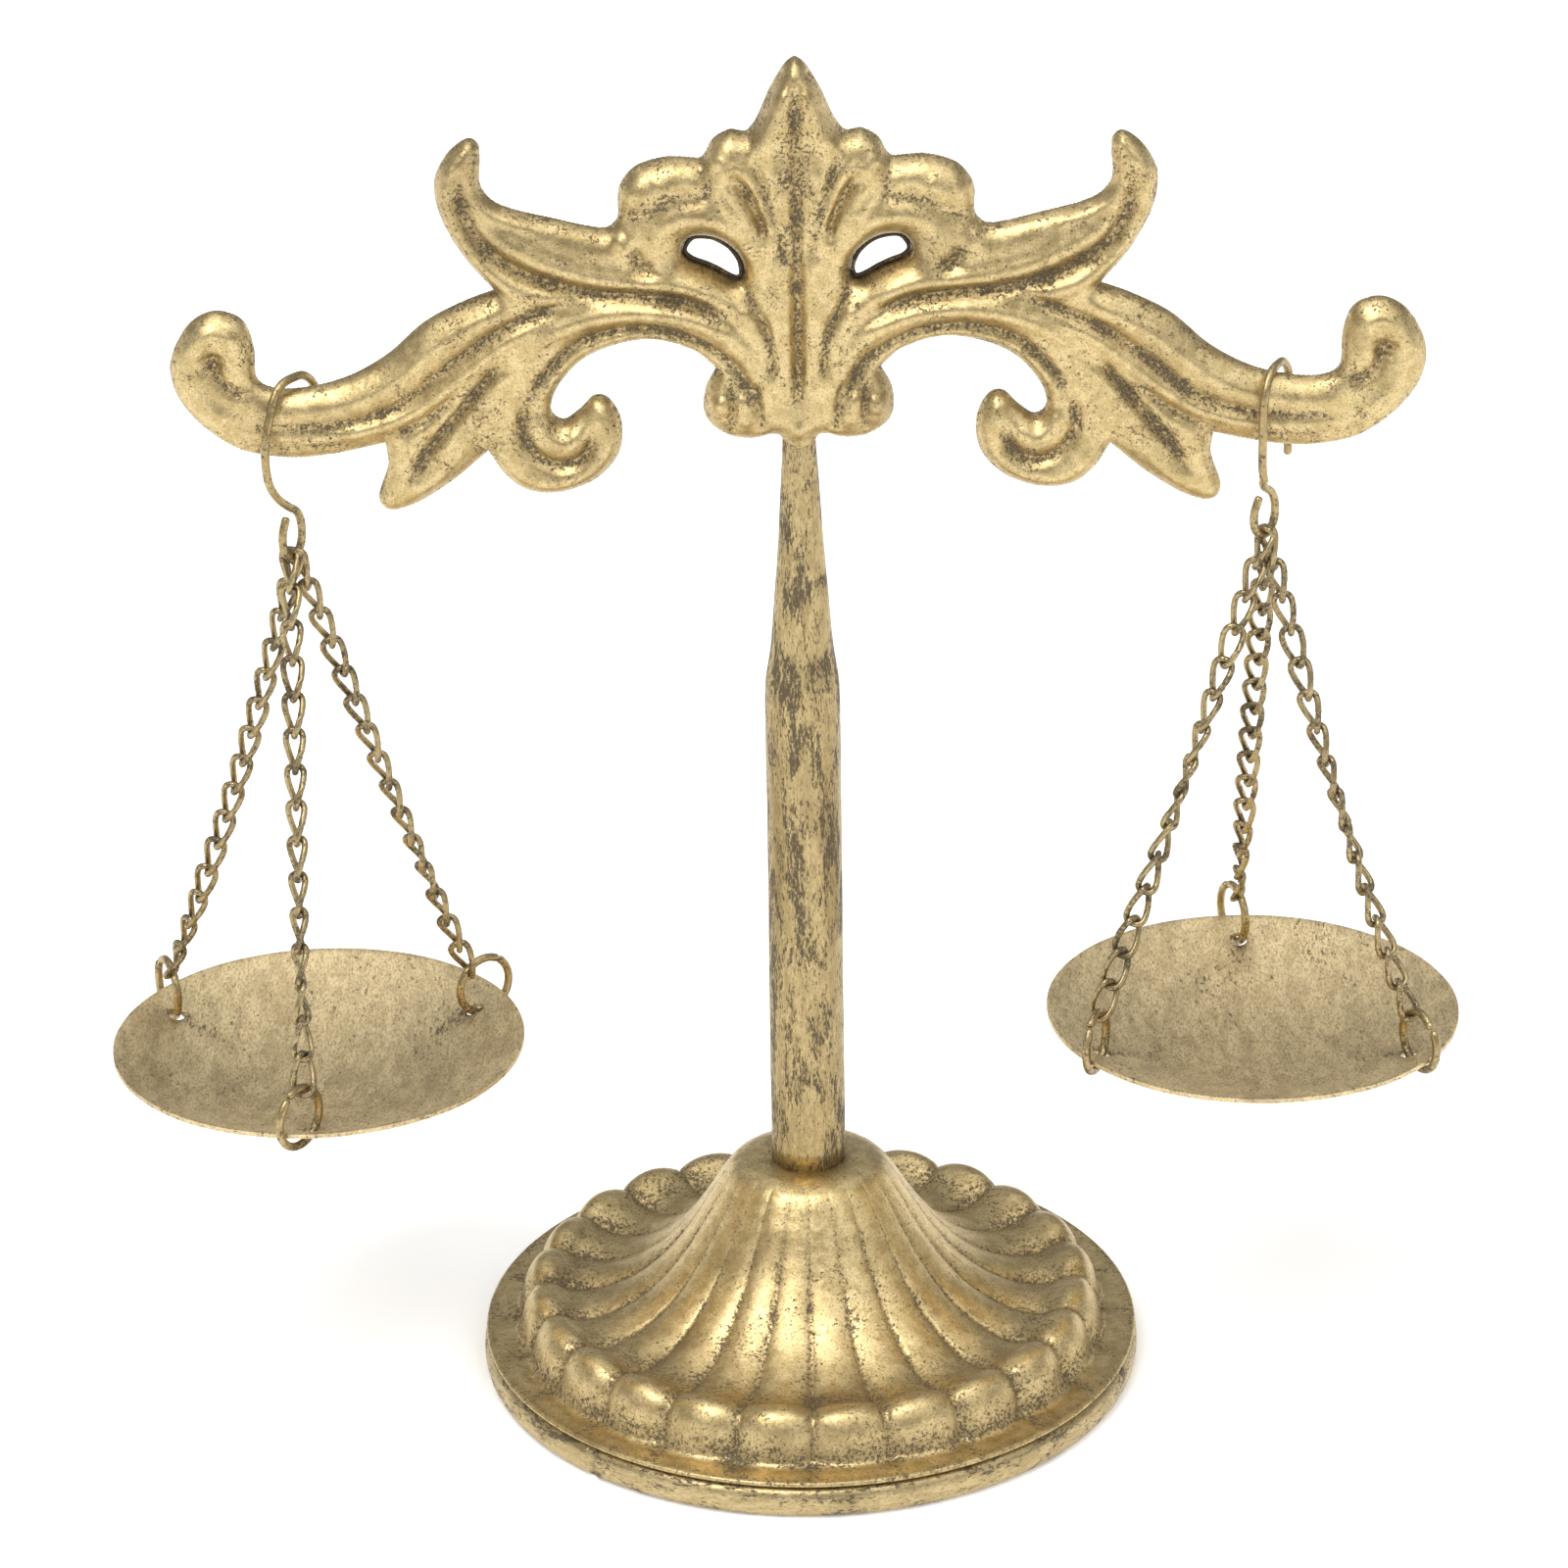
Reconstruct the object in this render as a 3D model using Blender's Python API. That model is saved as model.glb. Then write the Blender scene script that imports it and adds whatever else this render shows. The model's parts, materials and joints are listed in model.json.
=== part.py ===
"""Decorative equal arm balance scale in stamped antique-gold steel.

Metres, +Z up.  X runs along the beam and -Y is the front.  The origin is on the
table, under the middle of the whole; the pans hang unevenly, so the post stands
POST_X to the right of it.  Dimensions below are in millimetres, from the post.

The beam is two stamped shells welded to the post, so it stands still.  Each
hook rocks on the top edge of its arm, and each pan swings on its three chains
from the eye of its hook.
"""
import math

import bmesh
import bpy
from mathutils import Matrix, Vector
from mathutils.geometry import delaunay_2d_cdt

MM = 0.001
GAP = 0.3                     # air between touching pieces
UP = Vector((0, 0, 1))
POST_X = 3.85

# Base: a fluted dome with a flat flange, on a separate bullnose ring.
RING_RADIUS = 60.0
RING_INNER = 54.0
RING_TOP = 6.0
LOBES = 24
BOLT_HOLE = 2.6
# Radius and height down the crest of a lobe, and down the groove beside it.
CREST = [(2.6, 39.8), (12.0, 39.8), (13.6, 39.0), (16.0, 36.0), (20.0, 29.6), (24.0, 24.0),
         (29.0, 18.9), (35.0, 15.3), (40.5, 13.9), (44.5, 14.4), (47.6, 16.0), (50.2, 15.9),
         (52.2, 13.6), (53.4, 9.6), (54.0, 7.2), (59.5, 7.2)]
GROOVE = [(2.6, 39.8), (12.0, 39.8), (13.6, 38.9), (16.0, 35.7), (20.0, 29.1), (24.0, 23.3),
          (29.0, 18.0), (35.0, 14.2), (40.5, 12.7), (44.5, 12.7), (47.4, 13.3), (49.3, 12.9),
          (50.8, 11.3), (51.8, 9.0), (52.4, 7.2), (59.5, 7.2)]
DOME_INSIDE = [(59.5, 6.4), (51.3, 6.4), (49.9, 9.4), (48.0, 11.3), (41.0, 11.5), (34.0, 13.3),
               (28.0, 17.3), (22.6, 23.4), (16.0, 33.0), (13.0, 37.8), (11.5, 38.8), (2.6, 38.8)]

# Post: a steel tube, drawn down to a taper at the top.
POST_RADIUS = 6.64
POST_WALL = 1.0
POST_FOOT = 40.1
POST_PROFILE = [(6.64, 40.1), (6.64, 133.0), (6.4, 135.0), (6.0, 137.0), (5.55, 140.3),
                (5.2, 144.0), (4.65, 151.0), (3.9, 160.4), (3.36, 169.5), (2.85, 178.6),
                (2.6, 187.0)]
PLUG_TOP = 50.0
PLUG_BORE = 2.3
BOLT_RADIUS = 2.0
BOLT_TOP = 47.0
WASHER_TOP = 38.5
WASHER_BOTTOM = 37.3
WASHER_RADIUS = 6.5
HEAD_TOP = 37.0
HEAD_BOTTOM = 33.8
HEAD_RADIUS = 4.0

# Beam: the left half of its outline, in runs that meet at sharp notches.
# Each run is a smooth curve through (x, z).
HALF_OUTLINE = [
    [(0.0, 246.9), (-1.7, 245.7), (-4.2, 241.6), (-6.5, 236.4), (-8.3, 233.9)],
    [(-8.3, 233.9), (-11.2, 234.3), (-13.9, 232.8), (-15.0, 230.8), (-16.0, 229.4)],
    [(-16.0, 229.4), (-22.0, 229.7), (-27.2, 228.0), (-29.8, 224.4), (-30.0, 220.0),
     (-30.9, 218.3), (-33.2, 217.4), (-41.0, 219.2), (-49.6, 221.6), (-52.9, 225.0),
     (-52.9, 229.6), (-53.1, 232.4), (-55.0, 233.4), (-58.4, 230.8), (-60.7, 226.0),
     (-59.9, 219.8), (-56.3, 212.8), (-51.3, 206.7)],
    [(-51.3, 206.7), (-57.0, 204.5), (-63.5, 201.0), (-70.0, 195.3), (-77.0, 191.4),
     (-84.0, 189.6), (-89.6, 189.6), (-92.3, 191.6), (-92.5, 197.0), (-94.2, 201.8),
     (-98.8, 203.5), (-103.4, 201.2), (-106.7, 195.0), (-106.2, 189.0), (-102.4, 183.4),
     (-96.0, 178.7), (-88.0, 177.0), (-80.0, 177.5), (-70.9, 179.4)],
    [(-70.9, 179.4), (-70.6, 175.4), (-72.4, 169.6), (-70.6, 167.2), (-66.0, 168.3),
     (-59.5, 172.4), (-53.3, 177.7)],
    [(-53.3, 177.7), (-50.6, 173.4), (-46.8, 170.5), (-41.4, 170.0), (-35.2, 172.2),
     (-31.0, 176.8), (-30.3, 182.6), (-32.3, 186.8), (-35.0, 187.4), (-37.4, 185.1),
     (-40.3, 183.2), (-42.3, 185.2), (-40.6, 189.9), (-35.2, 195.0), (-26.0, 197.6),
     (-18.3, 195.8), (-14.0, 192.3)],
    [(-14.0, 192.3), (-16.0, 188.2), (-15.8, 183.2), (-12.0, 180.2), (-7.6, 179.6),
     (-4.4, 180.5)],
]
# The lip over the post, from the last run to the axis.
HALF_LIP = [(-4.4, 180.5), (-3.4, 180.3), (-1.7, 179.2), (0.0, 178.4)]
# A slanted bean-shaped window in each half, open right through.
WINDOW = [(-19.3, 213.6), (-17.6, 215.9), (-13.6, 215.6), (-10.2, 213.0), (-9.0, 209.6),
          (-10.3, 208.0), (-14.6, 210.2), (-18.3, 211.8)]
OUTLINE_STEP = 3.0            # spacing of points along the outline
INSET = 1.5                   # a row of points this far in rounds the edge over
GRID_STEP = 4.4
SHEET = 1.0                   # sheet thickness of each shell
EDGE_ROUND = 4.6              # the face rises from the seam over this width
ARM_DEPTH = 3.7               # half the beam's thickness at the arms
CENTRE_DEPTH = 5.2            # and at the post
CENTRE_SPREAD = 30.0
LIP_CLEARANCE = 3.35          # the lip's inside stands off the post's axis
LIP_TOP = 184.0
BEAM_FOOT = 168.0             # where the filling points start
BEAM_ROWS = 20
BEAM_REACH = 108.0

# Hooks: bent wire.  u runs forward in the hook's plane and w up from the arm.
HOOK_WIRE = 0.75
HOOK_ROUTE = [(-6.3, -17.2), (-6.4, -12.0), (-6.4, -6.0), (-5.6, -1.8), (-3.1, 0.8), (0.0, 1.3),
              (3.2, 0.8), (5.6, -1.8), (6.3, -6.0), (6.3, -11.0), (6.1, -15.5), (4.9, -18.4),
              (2.9, -20.2), (0.6, -21.9), (-0.3, -24.6), (0.2, -27.7), (2.3, -29.3),
              (4.4, -27.7), (4.8, -24.8), (4.0, -22.6)]
EYE_BOTTOM = (2.3, -29.3)
LEG_BELLY = (-3.0, -19.0)     # the front leg bows out between these heights
EYE_TURN = (-18.0, -22.0)     # and below it the wire turns to the eye's plane

# Pans: shallow spherical dishes on three rings.
PAN_RADIUS = 36.8
PAN_DEPTH = 8.0
PAN_SHEET = 0.8
HOLE_RING = 31.0              # distance of the holes from the pan's axis
HOLE_RADIUS = 1.6
RING_BEND = 5.35              # centre-line radius of a jump ring
RING_WIRE = 0.75
RING_SLACK = 0.15             # air between a ring and the strip of pan it carries
CHAIN_LINKS = 15
CHAIN_THICK = 1.15
CHAIN_NECK = 0.65
CHAIN_TIP = 0.45
CHAIN_START = 0.4             # air between the last link and its ring
CHAIN_END = 2.6               # the rod stops this far short of the eye

# Where each side hangs: the hook's place on the arm, the height it rocks at, its
# twist, belly and stretch, the height its back leg ends at, the pan's rim height, and
# each hole's bearing with the turn of its ring.  Angles are in degrees.
SIDES = {
    "left": {"x": -86.2, "edge": 189.95, "twist": 36, "eye_twist": 36, "belly": 1.28,
             "stretch": 1.05, "leg": -12.5, "rim": 66.4,
             "rings": [(272, -38), (29, 8), (152, -38)]},
    "right": {"x": 81.6, "edge": 190.1, "twist": 25, "eye_twist": 50, "belly": 1.0,
              "stretch": 1.0, "leg": -17.5, "rim": 70.6,
              "rings": [(90, 20), (207, 40), (329, -33)]},
}


def clear_scene():
    for obj in list(bpy.data.objects):
        bpy.data.objects.remove(obj, do_unlink=True)


def make_material(name, colour, roughness, metallic=1.0):
    material = bpy.data.materials.new(name)
    material.use_nodes = True
    shader = material.node_tree.nodes["Principled BSDF"]
    shader.inputs["Base Color"].default_value = (*colour, 1.0)
    shader.inputs["Roughness"].default_value = roughness
    shader.inputs["Metallic"].default_value = metallic
    return material


def add_object(name, bm, colour, roughness, smooth_angle=40, origin=(0, 0, 0)):
    """Turn a bmesh in millimetres into an object whose origin is at origin."""
    bmesh.ops.translate(bm, verts=bm.verts, vec=-Vector(origin))
    bmesh.ops.scale(bm, verts=bm.verts, vec=(MM, MM, MM))
    mesh = bpy.data.meshes.new(name)
    bm.to_mesh(mesh)
    bm.free()
    mesh.shade_smooth()
    mesh.set_sharp_from_angle(angle=math.radians(smooth_angle))
    obj = bpy.data.objects.new(name, mesh)
    obj.location = Vector(origin) * MM
    obj.data.materials.append(make_material(name, colour, roughness))
    bpy.context.collection.objects.link(obj)
    return obj


def hang_from(child, parent):
    """Parent without moving the child."""
    child.parent = parent
    child.matrix_parent_inverse = Matrix.Translation(-parent.location)


def smooth_run(points, step):
    """Points about step apart on a Catmull-Rom curve through points, without the last."""
    ends = [points[0]] + list(points) + [points[-1]]
    out = []
    for a, b, c, d in zip(ends, ends[1:], ends[2:], ends[3:]):
        a, b, c, d = Vector(a), Vector(b), Vector(c), Vector(d)
        count = max(1, round((c - b).length / step))
        for k in range(count):
            t = k / count
            out.append(0.5 * (2 * b + (c - a) * t + (2 * a - 5 * b + 4 * c - d) * t ** 2
                              + (3 * b - a - 3 * c + d) * t ** 3))
    return out


def mirrored(points):
    return [Vector((-p.x, p.y)) for p in points]


def lathe(profile, segments):
    """A closed (radius, z) profile turned about Z, given outer side first, top to bottom."""
    bm = bmesh.new()
    rings = []
    for k in range(segments):
        turn = Matrix.Rotation(2 * math.pi * k / segments, 3, "Z")
        rings.append([bm.verts.new(turn @ Vector((r, 0, z))) for r, z in profile])
    for here, there in zip(rings, rings[1:] + rings[:1]):
        for i in range(len(profile)):
            j = (i + 1) % len(profile)
            bm.faces.new((here[i], here[j], there[j], there[i]))
    bmesh.ops.recalc_face_normals(bm, faces=bm.faces)
    return bm


def sweep(points, radius_at, sides, closed=False, spin=0.0):
    """A tube along points whose radius is radius_at(index)."""
    bm = bmesh.new()
    count = len(points)
    tangents = []
    for i in range(count):
        before = points[i - 1] if closed or i else points[0]
        after = points[(i + 1) % count] if closed or i < count - 1 else points[-1]
        tangents.append((after - before).normalized())
    side = tangents[0].orthogonal().normalized()
    rings = []
    for i, (point, tangent) in enumerate(zip(points, tangents)):
        side = (side - side.dot(tangent) * tangent).normalized()
        other = tangent.cross(side)
        ring = []
        for k in range(sides):
            angle = 2 * math.pi * k / sides + spin * i
            offset = side * math.cos(angle) + other * math.sin(angle)
            ring.append(bm.verts.new(point + offset * radius_at(i)))
        rings.append(ring)
    pairs = list(zip(rings, rings[1:]))
    if closed:
        pairs.append((rings[-1], rings[0]))
    else:
        bm.faces.new(rings[0][::-1])
        bm.faces.new(rings[-1])
    for here, there in pairs:
        for k in range(sides):
            j = (k + 1) % sides
            bm.faces.new((here[k], here[j], there[j], there[k]))
    bmesh.ops.recalc_face_normals(bm, faces=bm.faces)
    return bm


# ---------------------------------------------------------------- the stand

def base_dome():
    """Fluted sheet dome: 24 rounded lobes that end in knuckles above a flat flange."""
    bm = bmesh.new()
    per_lobe = 4
    segments = LOBES * per_lobe
    columns = []
    for k in range(segments):
        turn = Matrix.Rotation(2 * math.pi * k / segments, 3, "Z")
        swell = abs(math.sin(math.pi * k / per_lobe)) ** 0.8
        column = []
        for crest, groove in zip(CREST, GROOVE):
            r = groove[0] + (crest[0] - groove[0]) * swell
            z = groove[1] + (crest[1] - groove[1]) * swell
            column.append(bm.verts.new(turn @ Vector((r, 0, z))))
        for r, z in DOME_INSIDE:
            column.append(bm.verts.new(turn @ Vector((r, 0, z))))
        columns.append(column)
    for here, there in zip(columns, columns[1:] + columns[:1]):
        for i in range(len(here)):
            j = (i + 1) % len(here)
            bm.faces.new((here[i], here[j], there[j], there[i]))
    bmesh.ops.recalc_face_normals(bm, faces=bm.faces)
    return add_object("base_dome", bm, (0.50, 0.39, 0.19), 0.42, smooth_angle=60)


def base_rim_ring():
    """Solid ring with a bullnose edge that the flange sits on."""
    profile = [(RING_INNER, RING_TOP), (58.6, RING_TOP), (59.6, 5.4), (RING_RADIUS, 4.3),
               (RING_RADIUS, 1.9), (59.5, 0.7), (58.4, 0.0), (RING_INNER, 0.0)]
    return add_object("base_rim_ring", lathe(profile, 72), (0.44, 0.34, 0.17), 0.42)


def post_tube():
    """Tube that narrows to a taper and stands open at both ends."""
    outside = list(reversed(POST_PROFILE))
    inside = [(r - POST_WALL, z) for r, z in POST_PROFILE]
    return add_object("post_tube", lathe(outside + inside, 24), (0.42, 0.33, 0.17), 0.40)


def post_plug():
    """Threaded insert pressed into the foot of the tube."""
    r = POST_RADIUS - POST_WALL - GAP
    profile = [(r, PLUG_TOP), (r, POST_FOOT), (PLUG_BORE, POST_FOOT), (PLUG_BORE, PLUG_TOP)]
    return add_object("post_plug", lathe(profile, 24), (0.45, 0.44, 0.42), 0.40)


def post_bolt():
    """Hexagon bolt that holds the tube on the dome from beneath."""
    bm = bmesh.new()
    rows = [(HEAD_RADIUS, HEAD_BOTTOM, 6), (HEAD_RADIUS, HEAD_TOP, 6)]
    head = []
    for r, z, sides in rows:
        turns = [2 * math.pi * k / sides for k in range(sides)]
        head.append([bm.verts.new((r * math.cos(a), r * math.sin(a), z)) for a in turns])
    shank = []
    for z in (HEAD_TOP, BOLT_TOP):
        turns = [2 * math.pi * k / 12 for k in range(12)]
        shank.append([bm.verts.new((BOLT_RADIUS * math.cos(a), BOLT_RADIUS * math.sin(a), z))
                      for a in turns])
    bm.faces.new(head[0][::-1])
    bm.faces.new(shank[1])
    for lower, upper in (head, shank):
        count = len(lower)
        for k in range(count):
            j = (k + 1) % count
            bm.faces.new((lower[k], lower[j], upper[j], upper[k]))
    for k in range(6):
        j = (k + 1) % 6
        a, b, c = shank[0][2 * k], shank[0][2 * k + 1], shank[0][(2 * k + 2) % 12]
        bm.faces.new((head[1][k], head[1][j], b))
        bm.faces.new((head[1][k], b, a))
        bm.faces.new((head[1][j], c, b))
    bmesh.ops.recalc_face_normals(bm, faces=bm.faces)
    return add_object("post_bolt", bm, (0.50, 0.49, 0.47), 0.35)


def bolt_washer():
    """Plain washer between the bolt's head and the dome."""
    profile = [(WASHER_RADIUS, WASHER_TOP), (WASHER_RADIUS, WASHER_BOTTOM),
               (BOLT_HOLE, WASHER_BOTTOM), (BOLT_HOLE, WASHER_TOP)]
    return add_object("bolt_washer", lathe(profile, 24), (0.50, 0.49, 0.47), 0.35)


# ----------------------------------------------------------------- the beam

def beam_outline():
    """The whole outline as one loop of points (x, z)."""
    half = []
    for run in HALF_OUTLINE:
        half += smooth_run(run, OUTLINE_STEP)
    half += [Vector(p) for p in HALF_LIP]
    return half + mirrored(half[1:-1])[::-1]


def beam_windows():
    left = smooth_run(WINDOW + WINDOW[:1], OUTLINE_STEP * 0.7)
    return [left, mirrored(left)[::-1]]


def distance_to_loops(point, loops):
    best = 1e9
    for loop in loops:
        for a, b in zip(loop, loop[1:] + loop[:1]):
            along = b - a
            t = max(0.0, min(1.0, (point - a).dot(along) / along.dot(along)))
            best = min(best, (point - a - along * t).length)
    return best


def inside_loop(point, loop):
    hit = False
    for a, b in zip(loop, loop[1:] + loop[:1]):
        if (a.y > point.y) != (b.y > point.y):
            if point.x < a.x + (point.y - a.y) / (b.y - a.y) * (b.x - a.x):
                hit = not hit
    return hit


def face_height(point, edge_distance):
    """How far the shell's face stands from the seam."""
    depth = ARM_DEPTH + (CENTRE_DEPTH - ARM_DEPTH) * math.exp(-(point.x / CENTRE_SPREAD) ** 2)
    rim = GAP / 2 + SHEET
    t = min(1.0, edge_distance / EDGE_ROUND)
    height = rim + (depth - rim) * math.sqrt(1 - (1 - t) ** 2)
    if abs(point.x) < LIP_CLEARANCE + GAP and point.y < LIP_TOP:
        height = max(height, LIP_CLEARANCE + SHEET)
    return height


def beam_points():
    """Outline, windows and filling points of one shell's face, in the plane."""
    loops = [beam_outline()] + beam_windows()
    points = [p for loop in loops for p in loop]
    filled = []

    def try_point(p, room, spacing):
        if not inside_loop(p, loops[0]) or any(inside_loop(p, hole) for hole in loops[1:]):
            return
        if distance_to_loops(p, loops) < room or any((p - q).length < spacing for q in filled):
            return
        filled.append(p)

    for loop in loops:
        for a, b in zip(loop, loop[1:] + loop[:1]):
            side = Vector((b.y - a.y, a.x - b.x)).normalized() * INSET
            for inset in (side, -side):
                try_point((a + b) / 2 + inset, INSET * 0.9, OUTLINE_STEP * 0.6)
    columns = int(BEAM_REACH / GRID_STEP)
    for row in range(BEAM_ROWS):
        for column in range(-columns, columns + 1):
            x = (column + 0.5 * (row % 2)) * GRID_STEP
            z = BEAM_FOOT + row * GRID_STEP * 0.87
            try_point(Vector((x, z)), INSET * 1.8, GRID_STEP * 0.7)
    return loops, points + filled


def beam_shell(name, side):
    """One stamped half of the beam; side is -1 for the front and 1 for the back."""
    loops, points = beam_points()
    edges = []
    start = 0
    for loop in loops:
        edges += [(start + i, start + (i + 1) % len(loop)) for i in range(len(loop))]
        start += len(loop)
    coords, _, triangles, _, _, _ = delaunay_2d_cdt(points, edges, [], 2, 1e-6)
    heights = [face_height(p, distance_to_loops(p, loops)) for p in coords]
    bm = bmesh.new()
    outer = [bm.verts.new((p.x, side * h, p.y)) for p, h in zip(coords, heights)]
    inner = [bm.verts.new((p.x, side * (h - SHEET), p.y)) for p, h in zip(coords, heights)]
    used = {}
    for face in triangles:
        middle = (coords[face[0]] + coords[face[1]] + coords[face[2]]) / 3
        if any(inside_loop(middle, window) for window in loops[1:]):
            continue
        bm.faces.new([outer[i] for i in face])
        bm.faces.new([inner[i] for i in face[::-1]])
        for a, b in zip(face, tuple(face[1:]) + tuple(face[:1])):
            used[(a, b)] = True
    for a, b in used:
        if (b, a) not in used:
            bm.faces.new((outer[b], outer[a], inner[a], inner[b]))
    bmesh.ops.delete(bm, geom=[v for v in bm.verts if not v.link_faces], context="VERTS")
    bmesh.ops.recalc_face_normals(bm, faces=bm.faces)
    return add_object(name, bm, (0.50, 0.39, 0.19), 0.40, smooth_angle=50)


# ---------------------------------------------------------- hooks and pans

def hook_frame(side, w):
    """Forward direction of the hook's plane at height w below the arm."""
    blend = max(0.0, min(1.0, (EYE_TURN[0] - w) / (EYE_TURN[0] - EYE_TURN[1])))
    twist = math.radians(side["twist"] + (side["eye_twist"] - side["twist"]) * blend)
    return Vector((-math.sin(twist), -math.cos(twist), 0))


def hook_points(side):
    out = []
    route = [(u, w) for u, w in HOOK_ROUTE if u > 0 or w > side["leg"] or w < EYE_TURN[0]]
    for point in smooth_run(route, 2.2) + [Vector(route[-1])]:
        u, w = point
        if u > 0 and LEG_BELLY[1] < w < LEG_BELLY[0]:
            swell = math.sin(math.pi * (LEG_BELLY[0] - w) / (LEG_BELLY[0] - LEG_BELLY[1]))
            u *= 1 + (side["belly"] - 1) * swell
        height = side["edge"] + w * side["stretch"]
        out.append(Vector((side["x"], 0, height)) + hook_frame(side, w) * u)
    return out


def hook(name, side):
    """Open hook over the arm, with a closed eye below for the chains."""
    bm = sweep(hook_points(side), lambda i: HOOK_WIRE, 7)
    rocker = (side["x"], 0, side["edge"])
    return add_object(name, bm, (0.46, 0.37, 0.22), 0.38, smooth_angle=60, origin=rocker)


def eye_point(side):
    u, w = EYE_BOTTOM
    foot = Vector((side["x"], 0, side["edge"] + w * side["stretch"]))
    return foot + hook_frame(side, w) * u


def dish_height(side, radius):
    """Top face of the dish at a radius."""
    ball = (PAN_RADIUS ** 2 + PAN_DEPTH ** 2) / (2 * PAN_DEPTH)
    return side["rim"] - (PAN_RADIUS ** 2 - radius ** 2) / (2 * ball)


def pan_axis(side):
    eye = eye_point(side)
    return Vector((eye.x, eye.y, 0))


def hole_offset(bearing):
    angle = math.radians(bearing)
    return Vector((math.cos(angle), math.sin(angle), 0)) * HOLE_RING


def ring_layout(side, bearing, turn):
    """Centre of an upright jump ring, its level direction, and its in-plane way to the eye.

    The ring carries the strip of pan between the hole's edge and the rim, so its inside
    touches the two lower corners of that strip.
    """
    hole = hole_offset(bearing)
    across = Matrix.Rotation(math.radians(turn), 3, "Z") @ hole.normalized()
    along = hole.dot(across)
    to_rim = math.sqrt(PAN_RADIUS ** 2 - HOLE_RING ** 2 + along ** 2) - along
    near = dish_height(side, (hole + across * HOLE_RADIUS).length) - PAN_SHEET
    far = side["rim"] - PAN_SHEET
    strip = Vector((to_rim - HOLE_RADIUS, far - near))
    inside = RING_BEND - RING_WIRE - RING_SLACK
    rise = math.sqrt(inside ** 2 - (strip.length / 2) ** 2)
    middle = Vector(((to_rim + HOLE_RADIUS) / 2, (near + far) / 2))
    middle += Vector((-strip.y, strip.x)).normalized() * rise
    centre = pan_axis(side) + hole + across * middle.x + UP * middle.y
    to_eye = eye_point(side) - centre
    normal = across.cross(UP)
    to_eye = (to_eye - to_eye.dot(normal) * normal).normalized()
    return centre, across, to_eye


def jump_ring(name, side, bearing, turn):
    centre, across, _ = ring_layout(side, bearing, turn)
    angles = [2 * math.pi * k / 18 for k in range(18)]
    points = [centre + (across * math.cos(a) + UP * math.sin(a)) * RING_BEND for a in angles]
    bm = sweep(points, lambda i: RING_WIRE, 6, closed=True)
    return add_object(name, bm, (0.50, 0.39, 0.20), 0.36, smooth_angle=70,
                      origin=eye_point(side))


def chain(name, side, bearing, turn):
    """The chain as one solid, thick at each link and thin where two links meet."""
    centre, _, to_eye = ring_layout(side, bearing, turn)
    low = centre + to_eye * (RING_BEND + RING_WIRE + CHAIN_START)
    high = eye_point(side)
    way = (high - low).normalized()
    high = high - way * CHAIN_END
    rows = 2 * CHAIN_LINKS
    points = [low.lerp(high, k / rows) for k in range(rows + 1)]

    def radius_at(i):
        if i in (0, rows):
            return CHAIN_TIP
        return CHAIN_THICK if i % 2 else CHAIN_NECK

    bm = sweep(points, radius_at, 4)
    return add_object(name, bm, (0.44, 0.35, 0.19), 0.38, smooth_angle=20,
                      origin=eye_point(side))


def pan(name, side):
    """Thin spherical dish with three small holes inside its rim."""
    radii = [PAN_RADIUS * k / 6 for k in range(1, 7)]
    top = [(r, dish_height(side, r)) for r in radii]
    under = [(r, z - PAN_SHEET) for r, z in reversed(top)]
    axis = pan_axis(side)
    segments = 48
    bm = bmesh.new()
    columns = []
    for k in range(segments):
        turn = Matrix.Rotation(2 * math.pi * k / segments, 3, "Z")
        columns.append([bm.verts.new(turn @ Vector((r, 0, z)) + axis) for r, z in top + under])
    middle = axis + UP * dish_height(side, 0)
    poles = [bm.verts.new(middle), bm.verts.new(middle - UP * PAN_SHEET)]
    for here, there in zip(columns, columns[1:] + columns[:1]):
        for i in range(len(here) - 1):
            bm.faces.new((here[i], here[i + 1], there[i + 1], there[i]))
        bm.faces.new((poles[0], here[0], there[0]))
        bm.faces.new((poles[1], there[-1], here[-1]))
    bmesh.ops.recalc_face_normals(bm, faces=bm.faces)
    obj = add_object(name, bm, (0.48, 0.39, 0.24), 0.40, origin=eye_point(side))
    drill_holes(obj, side)
    return obj


def drill_holes(dish, side):
    for number, (bearing, _) in enumerate(side["rings"], 1):
        place = pan_axis(side) + hole_offset(bearing) + UP * dish_height(side, HOLE_RING)
        bm = bmesh.new()
        bmesh.ops.create_cone(bm, cap_ends=True, segments=12, radius1=HOLE_RADIUS * MM,
                              radius2=HOLE_RADIUS * MM, depth=6 * MM)
        mesh = bpy.data.meshes.new(f"{dish.name}_drill_{number}")
        bm.to_mesh(mesh)
        bm.free()
        drill = bpy.data.objects.new(mesh.name, mesh)
        drill.location = place * MM
        drill.hide_render = True
        drill.display_type = "WIRE"
        bpy.context.collection.objects.link(drill)
        cut = dish.modifiers.new(f"hole_{number}", "BOOLEAN")
        cut.operation = "DIFFERENCE"
        cut.object = drill


def suspension(word, side):
    """Hook, chains, rings and pan of one side."""
    pivot = bpy.data.objects.new(f"eye_pivot_{word}", None)
    pivot.location = eye_point(side) * MM
    bpy.context.collection.objects.link(pivot)
    hook_object = hook(f"hook_{word}", side)
    hang_from(pivot, hook_object)
    bpy.context.view_layer.update()
    pieces = [pan(f"pan_{word}", side)]
    for number, (bearing, turn) in enumerate(side["rings"], 1):
        pieces.append(jump_ring(f"ring_{word}_{number}", side, bearing, turn))
        pieces.append(chain(f"chain_{word}_{number}", side, bearing, turn))
    for piece in pieces:
        piece.parent = pivot
        piece.matrix_parent_inverse = pivot.matrix_world.inverted()
    return hook_object


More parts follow.
